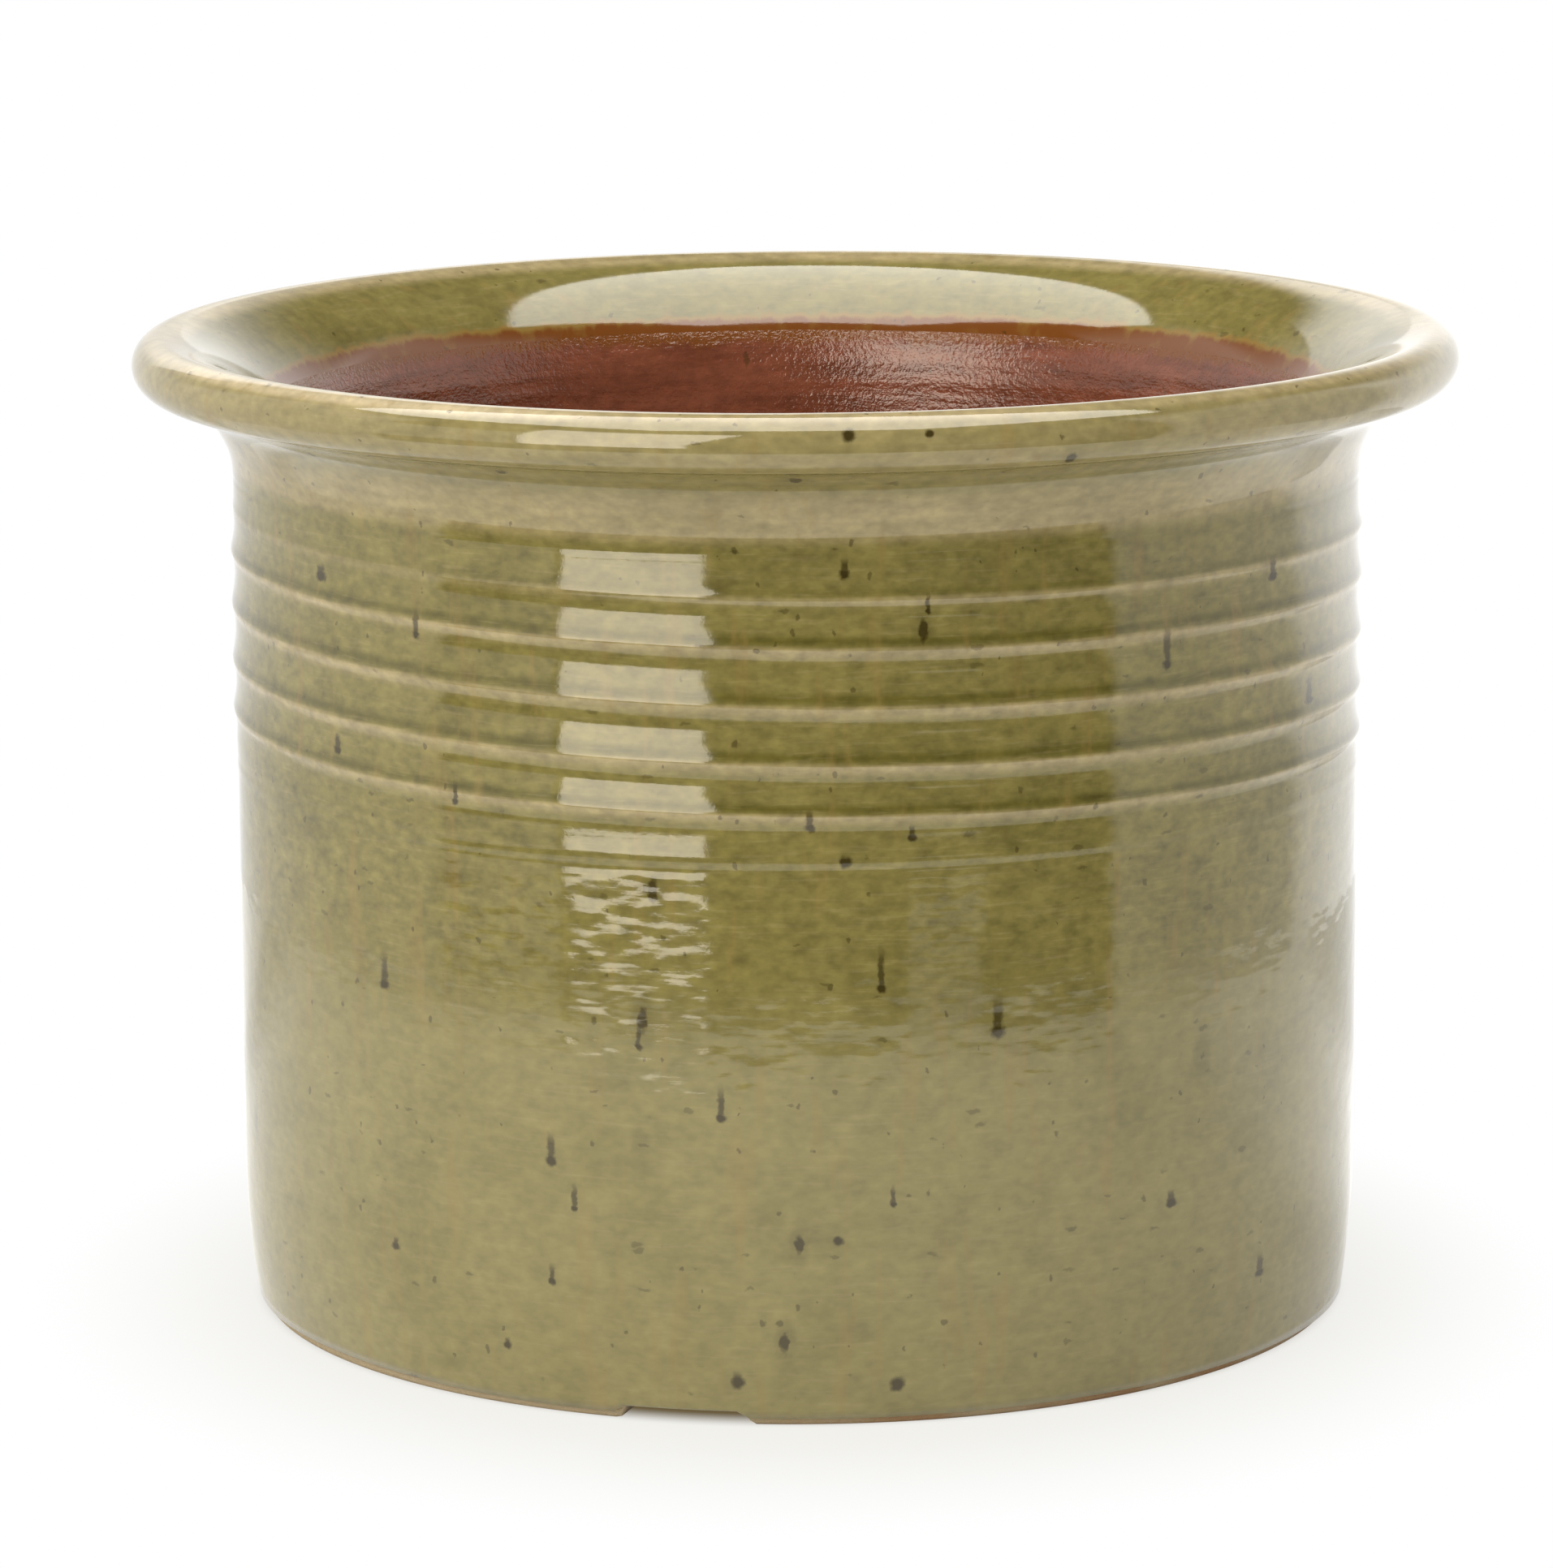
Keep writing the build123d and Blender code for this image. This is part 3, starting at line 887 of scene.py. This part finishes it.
def red_material(colours):
    """The liner glaze: iron red in faint level bands, amber with runs at its upper edge."""
    material, nodes, shader, position = start_material("Iron red glaze", True)
    mottle = group(nodes, "Glaze mottle", {"Vector": position})
    lines = group(nodes, "Throwing lines", {"Vector": position, **RED_LINES})
    dots = group(nodes, "Iron specks", {"Vector": position, **RED_DOTS})
    base = nodes.mix(nodes.span(lines["Broad"], 0.4, 0.66), rgba(colours.red), rgba(colours.red_dark))
    base = nodes.tint(base, nodes.span(mottle["Patches"], 0.45, 0.7), 0.4, colours.red)
    base = nodes.mix(1.0, base, mottle["Tone"], blend="MULTIPLY")
    amber = nodes.math("ADD", mask(nodes, "amber"), nodes.span(mottle["Runs"], 0.3, 0.7, -0.3, 0.3))
    base = nodes.mix(nodes.span(amber, 0.1, 0.9), base, rgba(colours.amber))
    base = nodes.tint(base, dots["Speck"], 0.5, colours.iron)
    relief = nodes.math("ADD", lines["Lines"], nodes.times(lines["Broad"], 0.8))
    relief = nodes.math("ADD", relief, nodes.times(mottle["Grain"], 1.6))
    roughness = nodes.span(mottle["Grain"], 0.3, 0.7, 0.12, 0.20)
    finish_material(nodes, shader, base, roughness, relief, RED_RELIEF)
    return material


def clay_material(colours):
    """Bare fired clay: sandy, with toasted patches and dark grit."""
    material, nodes, shader, position = start_material("Stoneware clay", False)
    mottle = group(nodes, "Glaze mottle", {"Vector": position})
    lines = group(nodes, "Throwing lines", {"Vector": position, **CLAY_LINES})
    dots = group(nodes, "Iron specks", {"Vector": position, **CLAY_DOTS})
    side = nodes.split(position, "X")
    toast = nodes.times(nodes.span(mottle["Patches"], 0.38, 0.6), nodes.span(side, -0.02, 0.02))
    base = nodes.mix(toast, rgba(colours.clay), rgba(colours.clay_toast))
    base = nodes.tint(base, nodes.span(lines["Lines"], 0.5, 0.7), 0.3, colours.tan)
    base = nodes.tint(base, dots["Speck"], 0.7, colours.iron)
    relief = nodes.math("ADD", lines["Lines"], mottle["Grain"])
    roughness = nodes.span(mottle["Grain"], 0.3, 0.7, 0.7, 0.9)
    finish_material(nodes, shader, base, roughness, relief, CLAY_RELIEF)
    return material


# Where the outer glaze is thin, as shares, and where each glaze turns amber, in millimetres from its end
THIN_ON_CREST, THIN_ON_LIP, THIN_ON_NECK, THIN_ON_TOP = 0.78, 0.42, 0.66, 0.95
OUTER_AMBER, OUTER_AMBER_WAVE = (2.7, 5.2), 0.35
INNER_AMBER, INNER_AMBER_WAVE = (1.2, 4.0), 0.6

# One row is kept in this many: on the outer coat's inner side, and on the clay body's two sides
INNER_ROW_STEP = 5
CLAY_OUTER_STEP, CLAY_INNER_STEP = 4, 3


def outer_masks(section, turn, radius, height, normals, crest):
    """Where the outer glaze runs thin, where a cream highlight is painted on the left front of the lip's
    top, and where it turns amber.
    """
    on_bead = smooth_step(section.bead_x - 1.0, section.bead_x + 2.5, radius)
    neck = smooth_step(section.neck_z, section.neck_z + 2.0, height) * (normals[:, 1:] < -0.01)
    neck = neck * (1.0 - 0.8 * smooth_step(section.neck_z + 5.5, section.neck_z + 9.0, height))
    on_top = smooth_step(0.60, 0.88, normals[:, 1:])
    on_top = on_top * smooth_step(section.bead_x - 5.2, section.bead_x - 2.6, radius)
    # The painted cream highlight covers the outer part of the lip's top, on its left front only.
    left = smooth_step(0.2, 0.5, turn) * (1.0 - smooth_step(1.0, 1.3, turn))
    lip_highlight = on_top * smooth_step(section.bead_x, section.bead_x + 1.5, radius) * left[None, :]
    thin = np.maximum(crest * THIN_ON_CREST, on_bead * THIN_ON_LIP)
    thin = np.maximum(thin, np.maximum(neck * THIN_ON_NECK, on_top * THIN_ON_TOP))
    rows = len(radius)
    wave = OUTER_AMBER_WAVE * slow_wave(turn[None, :], 0.0, SEED_OUTER_AMBER, 9)
    from_end = (rows - np.arange(rows))[:, None] * ROW_ROUND + wave
    return thin, lip_highlight, 1.0 - smooth_step(*OUTER_AMBER, from_end)


# Operators


class CROCK_OT_outer_glaze(bpy.types.Operator):
    """Builds the outer glaze coat"""

    bl_idname = "crock.outer_glaze"
    bl_label = "Outer glaze"

    def execute(self, context):
        section = Section(context.scene.crock_sizes)
        turn = turns(COLUMNS)
        radius, height, normals, crest, pool = outside_surface(section, turn)
        inner_radius, inner_height = inset(radius, height, normals, section.glaze)
        thin, lip_highlight, amber = outer_masks(section, turn, radius, height, normals, crest)
        every = np.r_[len(radius) - 1 : 0 : -INNER_ROW_STEP, 0]
        all_radius = np.concatenate([radius, inner_radius[every]])
        all_height = np.concatenate([height, inner_height[every]])
        blank = np.zeros((len(every), COLUMNS))
        values = {"thin": thin, "pool": pool, "amber": amber, "lip_highlight": lip_highlight}
        masks = {label: np.concatenate([value, blank]) for label, value in values.items()}
        mesh = lathe_mesh("outer_glaze_coat", all_radius, all_height, turn, True, masks)
        material = olive_material(context.scene.crock_colours)
        place_piece("outer_glaze_coat", mesh, "outer_glaze", material)
        return {"FINISHED"}


class CROCK_OT_liner_glaze(bpy.types.Operator):
    """Builds the liner glaze inside"""

    bl_idname = "crock.liner_glaze"
    bl_label = "Liner glaze"

    def execute(self, context):
        section = Section(context.scene.crock_sizes)
        turn = turns(COLUMNS)
        radius, height, normals = inside_surface(section, turn)
        inner_radius, inner_height = inset(radius, height, normals, section.glaze)
        rows = len(radius)
        along = np.arange(rows)[:, None] * ROW_ROUND
        wave = INNER_AMBER_WAVE * slow_wave(turn[None, :], 0.0, SEED_INNER_AMBER, 9)
        amber = 1.0 - smooth_step(*INNER_AMBER, along + wave)
        all_radius = np.maximum(np.concatenate([inner_radius[::-1], radius]), POLE_RADIUS)
        all_height = np.concatenate([inner_height[::-1], height])
        masks = {"amber": np.concatenate([np.zeros((rows, COLUMNS)), amber])}
        mesh = lathe_mesh("liner_glaze_coat", all_radius, all_height, turn, False, masks)
        material = red_material(context.scene.crock_colours)
        place_piece("liner_glaze_coat", mesh, "liner_glaze", material)
        return {"FINISHED"}


class CROCK_OT_clay_body(bpy.types.Operator):
    """Builds the clay body with its foot ring and notches"""

    bl_idname = "crock.clay_body"
    bl_label = "Clay body"

    def execute(self, context):
        section = Section(context.scene.crock_sizes)
        turn = turns(2 * COLUMNS)
        outer = inset(*outside_surface(section, turn)[:3], section.glaze)
        inner = inset(*inside_surface(section, turn), section.glaze)
        foot = foot_surface(section, turn, outer[0][0], outer[1][0])
        parts = zip(foot, outer, inner)
        radius, height = (
            np.concatenate([low, out[::CLAY_OUTER_STEP], within[::CLAY_INNER_STEP]])
            for low, out, within in parts
        )
        radius = np.maximum(radius, POLE_RADIUS)
        mesh = lathe_mesh("turned_clay_body", radius, height, turn, False, {})
        material = clay_material(context.scene.crock_colours)
        place_piece("turned_clay_body", mesh, "clay_body", material)
        return {"FINISHED"}


# The foot's bevel and the slope round its recess, and how many rows each part of the underside has
BEVEL_WIDTH = 0.5
BEVEL_RISE = 0.98
BEVEL_ROWS = 5
RECESS_SLOPE = 1.5
RECESS_ROWS, SLOPE_ROWS, RING_ROWS = 12, 4, 10


def foot_surface(section, turn, edge_radius, edge_height):
    """Radius and height of the underside, from the middle of the recess over the ring and up its bevel.

    Each row is a ring at a set share of the way out. A notch lifts the ring's rows by its height, with
    rounded sides, where the turn is within half its width.
    """
    foot = edge_radius.mean() - BEVEL_WIDTH
    ring_in = foot - section.ring
    flat = np.linspace(ROW_MIDDLE, ring_in - RECESS_SLOPE, RECESS_ROWS)
    slope = np.linspace(ring_in - RECESS_SLOPE + 0.3, ring_in, SLOPE_ROWS)
    ring = np.linspace(ring_in + 0.4, foot, RING_ROWS)
    radii = np.concatenate([flat, slope, ring])
    heights = np.concatenate([
        np.full(len(flat), section.recess),
        section.recess * (1.0 - smooth_step(ring_in - RECESS_SLOPE, ring_in, slope)),
        np.zeros(len(ring)),
    ])
    radius = np.repeat(radii[:, None], len(turn), 1)
    height = np.repeat(heights[:, None], len(turn), 1)
    bevel = np.linspace(0.0, 1.0, BEVEL_ROWS)[1:, None]
    bevel_radius = foot + (edge_radius[None, :] - foot) * np.sqrt(bevel)
    bevel_height = edge_height[None, :] * bevel * BEVEL_RISE
    radius = np.concatenate([radius, bevel_radius])
    height = np.concatenate([height, bevel_height])
    lift = notch_lift(section, turn)[None, :]
    on_ring = smooth_step(ring_in - RECESS_SLOPE, ring_in, radius)
    return radius, np.maximum(height, lift * on_ring)


# Camera, from matching the crock's outline and ellipses to the picture's frame of 1913 by 1932 pixels
CAMERA_DISTANCE = 0.95484
CAMERA_HEIGHT = 0.25533
CAMERA_PITCH = 10.994
CAMERA_YAW = -0.175
CAMERA_ROLL = 0.0048
CAMERA_LENS = 162.33
CAMERA_SENSOR = 36.0

# Studio: a round table, a softbox above it, a tall strip at the front left, and a dark room beyond.
# Lengths are in metres, and azimuths from the front and elevations in degrees.
TABLE_RADIUS = 0.30
TABLE_RINGS, TABLE_COLUMNS = 24, 96
# Near the pot the table's camera-only glow is a painted shadow. It is greyer inside the fade radii,
# reshaped by the stretch, and takes the foot shadow colour under the foot. The dim shade colour keeps a
# little of the lamps' real shadow.
TABLE_SHADE = (0.11, 0.11, 0.105, 1.0)
TABLE_GLOW = (0.80, 0.795, 0.765, 1.0)
FOOT_SHADOW = (0.13, 0.095, 0.04, 1.0)
TABLE_FADE_STRETCH = (1.16, 1.0, 1.0)
TABLE_FADE_START = 0.078
TABLE_FADE_END = 0.126
FOOT_SHADOW_FROM = 0.0690
FOOT_SHADOW_TO = 0.0762
FILL_LAMP_PLACE = (-0.08, 0.03, 1.0)
FILL_LAMP_SIZE = (1.4, 1.4)
FILL_LAMP_LEVEL = 1.04
KEY_LAMP_PLACE = (-1.0, -0.95, 0.75)
KEY_LAMP_TARGET = (0.0, 0.0, 0.07)
KEY_LAMP_SIZE = (0.8, 0.8)
KEY_LAMP_LEVEL = 4.25
ROOM_LIGHT = 0.53
TABLE_LIGHT = 0.75
TABLE_SHEEN = 0.45
TABLE_SHEEN_BACK = 0.40
TABLE_SHEEN_FAR = 0.45
TABLE_SHEEN_FROM = 0.04
TABLE_SHEEN_TO = 0.12
TABLE_FAR_FROM = 0.09
TABLE_FAR_TO = 0.15
STRIP_FROM = -47.5
STRIP_TO = -18.5
STRIP_LEAN_LEFT = 0.05
STRIP_LEAN_RIGHT = 0.2
STRIP_BOTTOM = -11.9
STRIP_NARROW = -11.3
STRIP_NARROWING = 7.0
STRIP_TOP = 38.0
STRIP_SOFT = 0.5
STRIP_BOTTOM_SOFT = 0.6
STRIP_TOP_SOFT = 4.0
STRIP_LEVEL = 5.4
STRIP_COLOUR = (1.0, 0.95, 0.88, 1.0)
SOFTBOX_LEVEL = 5.2
SOFTBOX_RISE = (20.0, 22.0)
SOFTBOX_SOFT = 0.012
LEAST_UPWARD = 0.05

# The softbox's eight sides: the way that each faces, in degrees from +X, and its distance over its height
SOFTBOX_SIDES = (
    (0, 0.84), (50, 0.52), (90, 0.64), (109, 0.62), (180, 0.97), (220, 0.73), (270, 0.66), (320, 0.68),
)

# The room beyond: its levels, and the azimuths and elevations where they change
ROOM_DARK = 0.03
ROOM_LEFT = 1.05
ROOM_RIGHT = 1.05
ROOM_BACK = 1.8
ROOM_BEHIND = 1.45
SWEEP_LOW = 1.05
SWEEP_HIGH = 1.65
SWEEP_RISE = (6.0, 18.0)
ROOM_SOFT = 2.0
WINDOW_SOFT = 1.0
DARK_FROM = -77.5
DARK_TO = 66.0
BACK_FROM = 106.0
BACK_TO = 128.0
BEHIND_FROM = 138.0
BEHIND_TO = 160.0
SWEEP_FROM = -150.0
SWEEP_TOP = 24.0
SWEEP_SOFT = 3.0
SWEEP_TOP_SOFT = 8.0
CEILING_FROM = 34.0
CEILING_TO = 48.0
CEILING_BACK_FROM = 8.0
CEILING_BACK_TO = 34.0
CEILING_TURN = (112.0, 136.0)
CEILING_DIM = 0.04
HORIZON = (-6.0, 2.0)

# Two dimmer patches in the dark room: from and to in azimuth, from and to in elevation, level
PATCHES = ((-79.0, -49.0, -13.4, 25.0, 0.9), (22.0, 37.0, -14.0, -11.7, 0.8))


def disc_mesh(name, radius, rings, columns):
    """A flat disc at height 0, facing up: rings of points round a middle one."""
    turn = turns(columns)
    share = np.linspace(0.0, 1.0, rings + 1)[1:, None]
    x, y = radius * share * np.sin(turn), radius * share * np.cos(turn)
    points = np.stack([x, y, np.zeros_like(x)], 2).reshape(-1, 3)
    points = np.concatenate([np.zeros((1, 3)), points])
    here = np.arange(columns)
    there = (here + 1) % columns
    row = np.arange(rings - 1)[:, None] * columns + 1
    over = row + columns
    quads = np.stack([row + here, row + there, over + there, over + here], 2).reshape(-1, 4)
    fans = np.stack([np.zeros(columns, int), 1 + there, 1 + here], 1)
    mesh = bpy.data.meshes.new(name)
    mesh.from_pydata(points.tolist(), [], fans.tolist() + quads[:, ::-1].tolist())
    mesh.update()
    return mesh


def table_material(colours):
    """The table: white and softly shaded near the pot, mostly by a shadow painted into its glow, and as
    white as the background at its edge.
    """
    material = bpy.data.materials.new("Plain table")
    nodes, output = cleared(material, "ShaderNodeOutputMaterial")
    position = nodes.add("ShaderNodeTexCoord").outputs["Object"]
    across, away = nodes.split(position, "X"), nodes.split(position, "Y")
    path = nodes.add("ShaderNodeLightPath")
    # For glossy rays the table also glows, brighter behind the pot and dimmer far back.
    behind = nodes.math("MULTIPLY_ADD", across, 0.5, away)
    back = TABLE_SHEEN + TABLE_SHEEN_BACK
    sheen = nodes.span(behind, TABLE_SHEEN_FROM, TABLE_SHEEN_TO, TABLE_SHEEN, back)
    far = nodes.span(away, TABLE_FAR_FROM, TABLE_FAR_TO, 0.0, TABLE_SHEEN_FAR)
    sheen = nodes.times(path.outputs["Is Glossy Ray"], nodes.math("SUBTRACT", sheen, far))
    # Painted shadow: to the camera the glow is dark under the foot and grey near the pot, fading to white.
    reach = nodes.vector("LENGTH", (position,), "Value")
    under = nodes.span(reach, FOOT_SHADOW_FROM, FOOT_SHADOW_TO)
    glow = nodes.mix(under, FOOT_SHADOW, TABLE_GLOW)
    wide = nodes.vector("MULTIPLY", (position, TABLE_FADE_STRETCH))
    wide = nodes.vector("LENGTH", (wide,), "Value")
    fade = nodes.span(wide, TABLE_FADE_START, TABLE_FADE_END)

    def shader(kind, values):
        """The shader that a node gives."""
        return nodes.add(kind, values).outputs[0]

    matt = shader("ShaderNodeBsdfDiffuse", {"Color": rgba(colours.table)})
    sheen = shader("ShaderNodeEmission", {"Strength": sheen})
    bright = shader("ShaderNodeAddShader", {0: matt, 1: sheen})
    shade = shader("ShaderNodeBsdfDiffuse", {"Color": TABLE_SHADE})
    glow = shader("ShaderNodeEmission", {"Color": glow, "Strength": 1.0})
    seen = shader("ShaderNodeAddShader", {0: shade, 1: glow})
    white = shader("ShaderNodeEmission", {"Strength": 1.0})
    faded = shader("ShaderNodeMixShader", {0: fade, 1: seen, 2: white})
    both = shader("ShaderNodeMixShader", {0: path.outputs["Is Camera Ray"], 1: bright, 2: faded})
    nodes.feed(output.inputs["Surface"], both)
    return material


def area_lamp(name, place, target, size, level):
    """A soft lamp that faces a target. It lights the colours, and the room makes the reflections."""
    light = bpy.data.lights.new(name, "AREA")
    light.shape = "RECTANGLE"
    light.size, light.size_y = size
    light.energy = level * size[0] * size[1] * math.pi
    lamp = bpy.data.objects.new(name, light)
    lamp.location = place
    toward = Vector(target) - Vector(place)
    lamp.rotation_euler = toward.to_track_quat("-Z", "Y").to_euler()
    lamp.visible_glossy = False
    bpy.context.collection.objects.link(lamp)
    return lamp


def studio_world():
    """The room: even light, white to the camera, and a dark room with bright shapes to glossy rays."""
    world = bpy.data.worlds.new("Studio room")
    bpy.context.scene.world = world
    nodes, output = cleared(world, "ShaderNodeOutputWorld")
    direction = nodes.add("ShaderNodeTexCoord").outputs["Generated"]
    split = nodes.add("ShaderNodeSeparateXYZ", {0: direction})
    front = nodes.times(split.outputs["Y"], -1.0)
    side = nodes.math("DEGREES", nodes.math("ARCTAN2", split.outputs["X"], front))
    rise = nodes.math("DEGREES", nodes.math("ARCSINE", split.outputs["Z"]))

    def window(left, right, bottom, top):
        """One inside a range of azimuths and elevations, and zero outside it."""
        left = nodes.edge(side, left, WINDOW_SOFT)
        right = nodes.edge(side, right, WINDOW_SOFT, 1.0, 0.0)
        bottom = nodes.span(rise, bottom, bottom + WINDOW_SOFT)
        top = nodes.span(rise, top, top + WINDOW_SOFT, 1.0, 0.0)
        return nodes.times(nodes.times(left, right), nodes.times(bottom, top))

    # The strip leans in as it rises, and its lower end narrows on the left
    above = nodes.math("MAXIMUM", rise, 0.0)
    below = nodes.math("MAXIMUM", nodes.math("SUBTRACT", STRIP_NARROW, rise), 0.0)
    left = nodes.math("MULTIPLY_ADD", above, STRIP_LEAN_LEFT, side)
    left = nodes.math("MULTIPLY_ADD", below, -STRIP_NARROWING, left)
    right = nodes.math("MULTIPLY_ADD", above, -STRIP_LEAN_RIGHT, side)
    left = nodes.edge(left, STRIP_FROM, STRIP_SOFT)
    right = nodes.edge(right, STRIP_TO, STRIP_SOFT, 1.0, 0.0)
    bottom = nodes.span(rise, STRIP_BOTTOM, STRIP_BOTTOM + STRIP_BOTTOM_SOFT)
    top = nodes.span(rise, STRIP_TOP, STRIP_TOP + STRIP_TOP_SOFT, 1.0, 0.0)
    strip = nodes.times(nodes.times(left, right), nodes.times(bottom, top))

    # The softbox is what lies inside all of its sides
    upward = nodes.math("MAXIMUM", split.outputs["Z"], LEAST_UPWARD)
    softbox = nodes.span(rise, *SOFTBOX_RISE)
    for turn, reach in SOFTBOX_SIDES:
        across = (math.cos(math.radians(turn)), math.sin(math.radians(turn)), 0.0)
        across = nodes.vector("DOT_PRODUCT", (direction, across), "Value")
        across = nodes.math("DIVIDE", across, upward)
        softbox = nodes.times(softbox, nodes.edge(across, reach, SOFTBOX_SOFT, 1.0, 0.0))

    # The room's walls, its two patches, its ceiling and the sweep behind
    level = nodes.edge(side, DARK_FROM, ROOM_SOFT, ROOM_LEFT, ROOM_DARK)
    level = nodes.math("MAXIMUM", level, nodes.edge(side, DARK_TO, ROOM_SOFT, 0.0, ROOM_RIGHT))
    back = nodes.span(side, BACK_FROM, BACK_TO, 0.0, ROOM_BACK)
    back = nodes.times(back, nodes.span(side, BEHIND_FROM, BEHIND_TO, 1.0, ROOM_BEHIND / ROOM_BACK))
    level = nodes.math("MAXIMUM", level, back)
    for *edges, brightness in PATCHES:
        level = nodes.math("MAXIMUM", level, nodes.times(window(*edges), brightness))
    turned = nodes.math("ABSOLUTE", side)
    ceiling_from = nodes.span(turned, *CEILING_TURN, CEILING_FROM, CEILING_BACK_FROM)
    ceiling_to = nodes.span(turned, *CEILING_TURN, CEILING_TO, CEILING_BACK_TO)
    level = nodes.times(level, nodes.span(rise, ceiling_from, ceiling_to, 1.0, CEILING_DIM))
    sweep = nodes.span(side, SWEEP_FROM - SWEEP_SOFT, SWEEP_FROM, 1.0, 0.0)
    sweep = nodes.times(sweep, nodes.span(rise, SWEEP_TOP, SWEEP_TOP + SWEEP_TOP_SOFT, 1.0, 0.0))
    sweep = nodes.times(sweep, nodes.span(rise, *SWEEP_RISE, SWEEP_LOW, SWEEP_HIGH))
    level = nodes.math("MAXIMUM", level, sweep)
    level = nodes.math("MULTIPLY_ADD", strip, STRIP_LEVEL, level)
    level = nodes.math("MULTIPLY_ADD", softbox, SOFTBOX_LEVEL, level)

    # What each kind of ray sees
    path = nodes.add("ShaderNodeLightPath")
    even = nodes.span(rise, *HORIZON, TABLE_LIGHT, ROOM_LIGHT)
    glossy = path.outputs["Is Glossy Ray"]
    level = nodes.math("MULTIPLY_ADD", glossy, nodes.math("SUBTRACT", level, even), even)
    clear = nodes.math("MAXIMUM", path.outputs["Is Camera Ray"], path.outputs["Is Transmission Ray"])
    level = nodes.math("MULTIPLY_ADD", clear, nodes.math("SUBTRACT", 1.0, level), level)
    tinted = nodes.mix(nodes.times(strip, glossy), (1.0, 1.0, 1.0, 1.0), STRIP_COLOUR)
    background = nodes.add("ShaderNodeBackground", {"Color": tinted, "Strength": level})
    nodes.feed(output.inputs["Surface"], background.outputs[0])


def photo_camera():
    """The camera at the photograph's angle: placed in front, pitched down, with a slight yaw and roll."""
    camera = bpy.data.objects.new("Camera", bpy.data.cameras.new("Camera"))
    camera.data.lens = CAMERA_LENS
    camera.data.sensor_width = CAMERA_SENSOR
    camera.data.sensor_fit = "AUTO"
    pitch, yaw = math.radians(CAMERA_PITCH), math.radians(CAMERA_YAW)
    flat = math.cos(pitch)
    forward = Vector((math.sin(yaw) * flat, math.cos(yaw) * flat, -math.sin(pitch)))
    level = forward.cross(Vector((0.0, 0.0, 1.0))).normalized()
    upward = level.cross(forward)
    right = level * math.cos(CAMERA_ROLL) - upward * math.sin(CAMERA_ROLL)
    up = upward * math.cos(CAMERA_ROLL) + level * math.sin(CAMERA_ROLL)
    place = Vector((0.0, -CAMERA_DISTANCE, CAMERA_HEIGHT))
    turned = Matrix((right, up, -forward)).transposed().to_4x4()
    camera.matrix_world = Matrix.Translation(place) @ turned
    bpy.context.collection.objects.link(camera)
    bpy.context.scene.camera = camera


class CROCK_OT_stage(bpy.types.Operator):
    """Sets up the table, the lamps, the room and the camera"""

    bl_idname = "crock.stage"
    bl_label = "Stage"

    def execute(self, context):
        scene = context.scene
        scene.view_settings.view_transform = "Standard"
        table = bpy.data.objects.new("Table", disc_mesh("Table", TABLE_RADIUS, TABLE_RINGS, TABLE_COLUMNS))
        table.data.materials.append(table_material(scene.crock_colours))
        scene.collection.objects.link(table)
        below = (*FILL_LAMP_PLACE[:2], 0.0)
        area_lamp("Fill lamp", FILL_LAMP_PLACE, below, FILL_LAMP_SIZE, FILL_LAMP_LEVEL)
        area_lamp("Key lamp", KEY_LAMP_PLACE, KEY_LAMP_TARGET, KEY_LAMP_SIZE, KEY_LAMP_LEVEL)
        studio_world()
        photo_camera()
        return {"FINISHED"}


class CROCK_PT_panel(bpy.types.Panel):
    """Lists the steps, the sizes and the colours"""

    bl_label = "Thrown crock"
    bl_idname = "CROCK_PT_panel"
    bl_space_type = "VIEW_3D"
    bl_region_type = "UI"
    bl_category = "Crock"

    def draw(self, context):
        layout = self.layout
        for step in STEPS:
            layout.operator(step.bl_idname)
        for settings in (context.scene.crock_sizes, context.scene.crock_colours):
            box = layout.box()
            for name in settings.__annotations__:
                box.prop(settings, name)


STEPS = (CROCK_OT_stage, CROCK_OT_clay_body, CROCK_OT_outer_glaze, CROCK_OT_liner_glaze)
CLASSES = (CrockSizes, CrockColours, *STEPS, CROCK_PT_panel)


def register():
    """Registers the classes and hangs the settings on the scene."""
    for kind in CLASSES:
        bpy.utils.register_class(kind)
    bpy.types.Scene.crock_sizes = bpy.props.PointerProperty(type=CrockSizes)
    bpy.types.Scene.crock_colours = bpy.props.PointerProperty(type=CrockColours)


def unregister():
    """Takes the settings and the classes away again."""
    del bpy.types.Scene.crock_colours
    del bpy.types.Scene.crock_sizes
    for kind in reversed(CLASSES):
        bpy.utils.unregister_class(kind)


def main():
    register()
    build_groups()
    bpy.ops.crock.stage()
    bpy.ops.crock.clay_body()
    bpy.ops.crock.outer_glaze()
    bpy.ops.crock.liner_glaze()


if __name__ == "__main__":
    main()
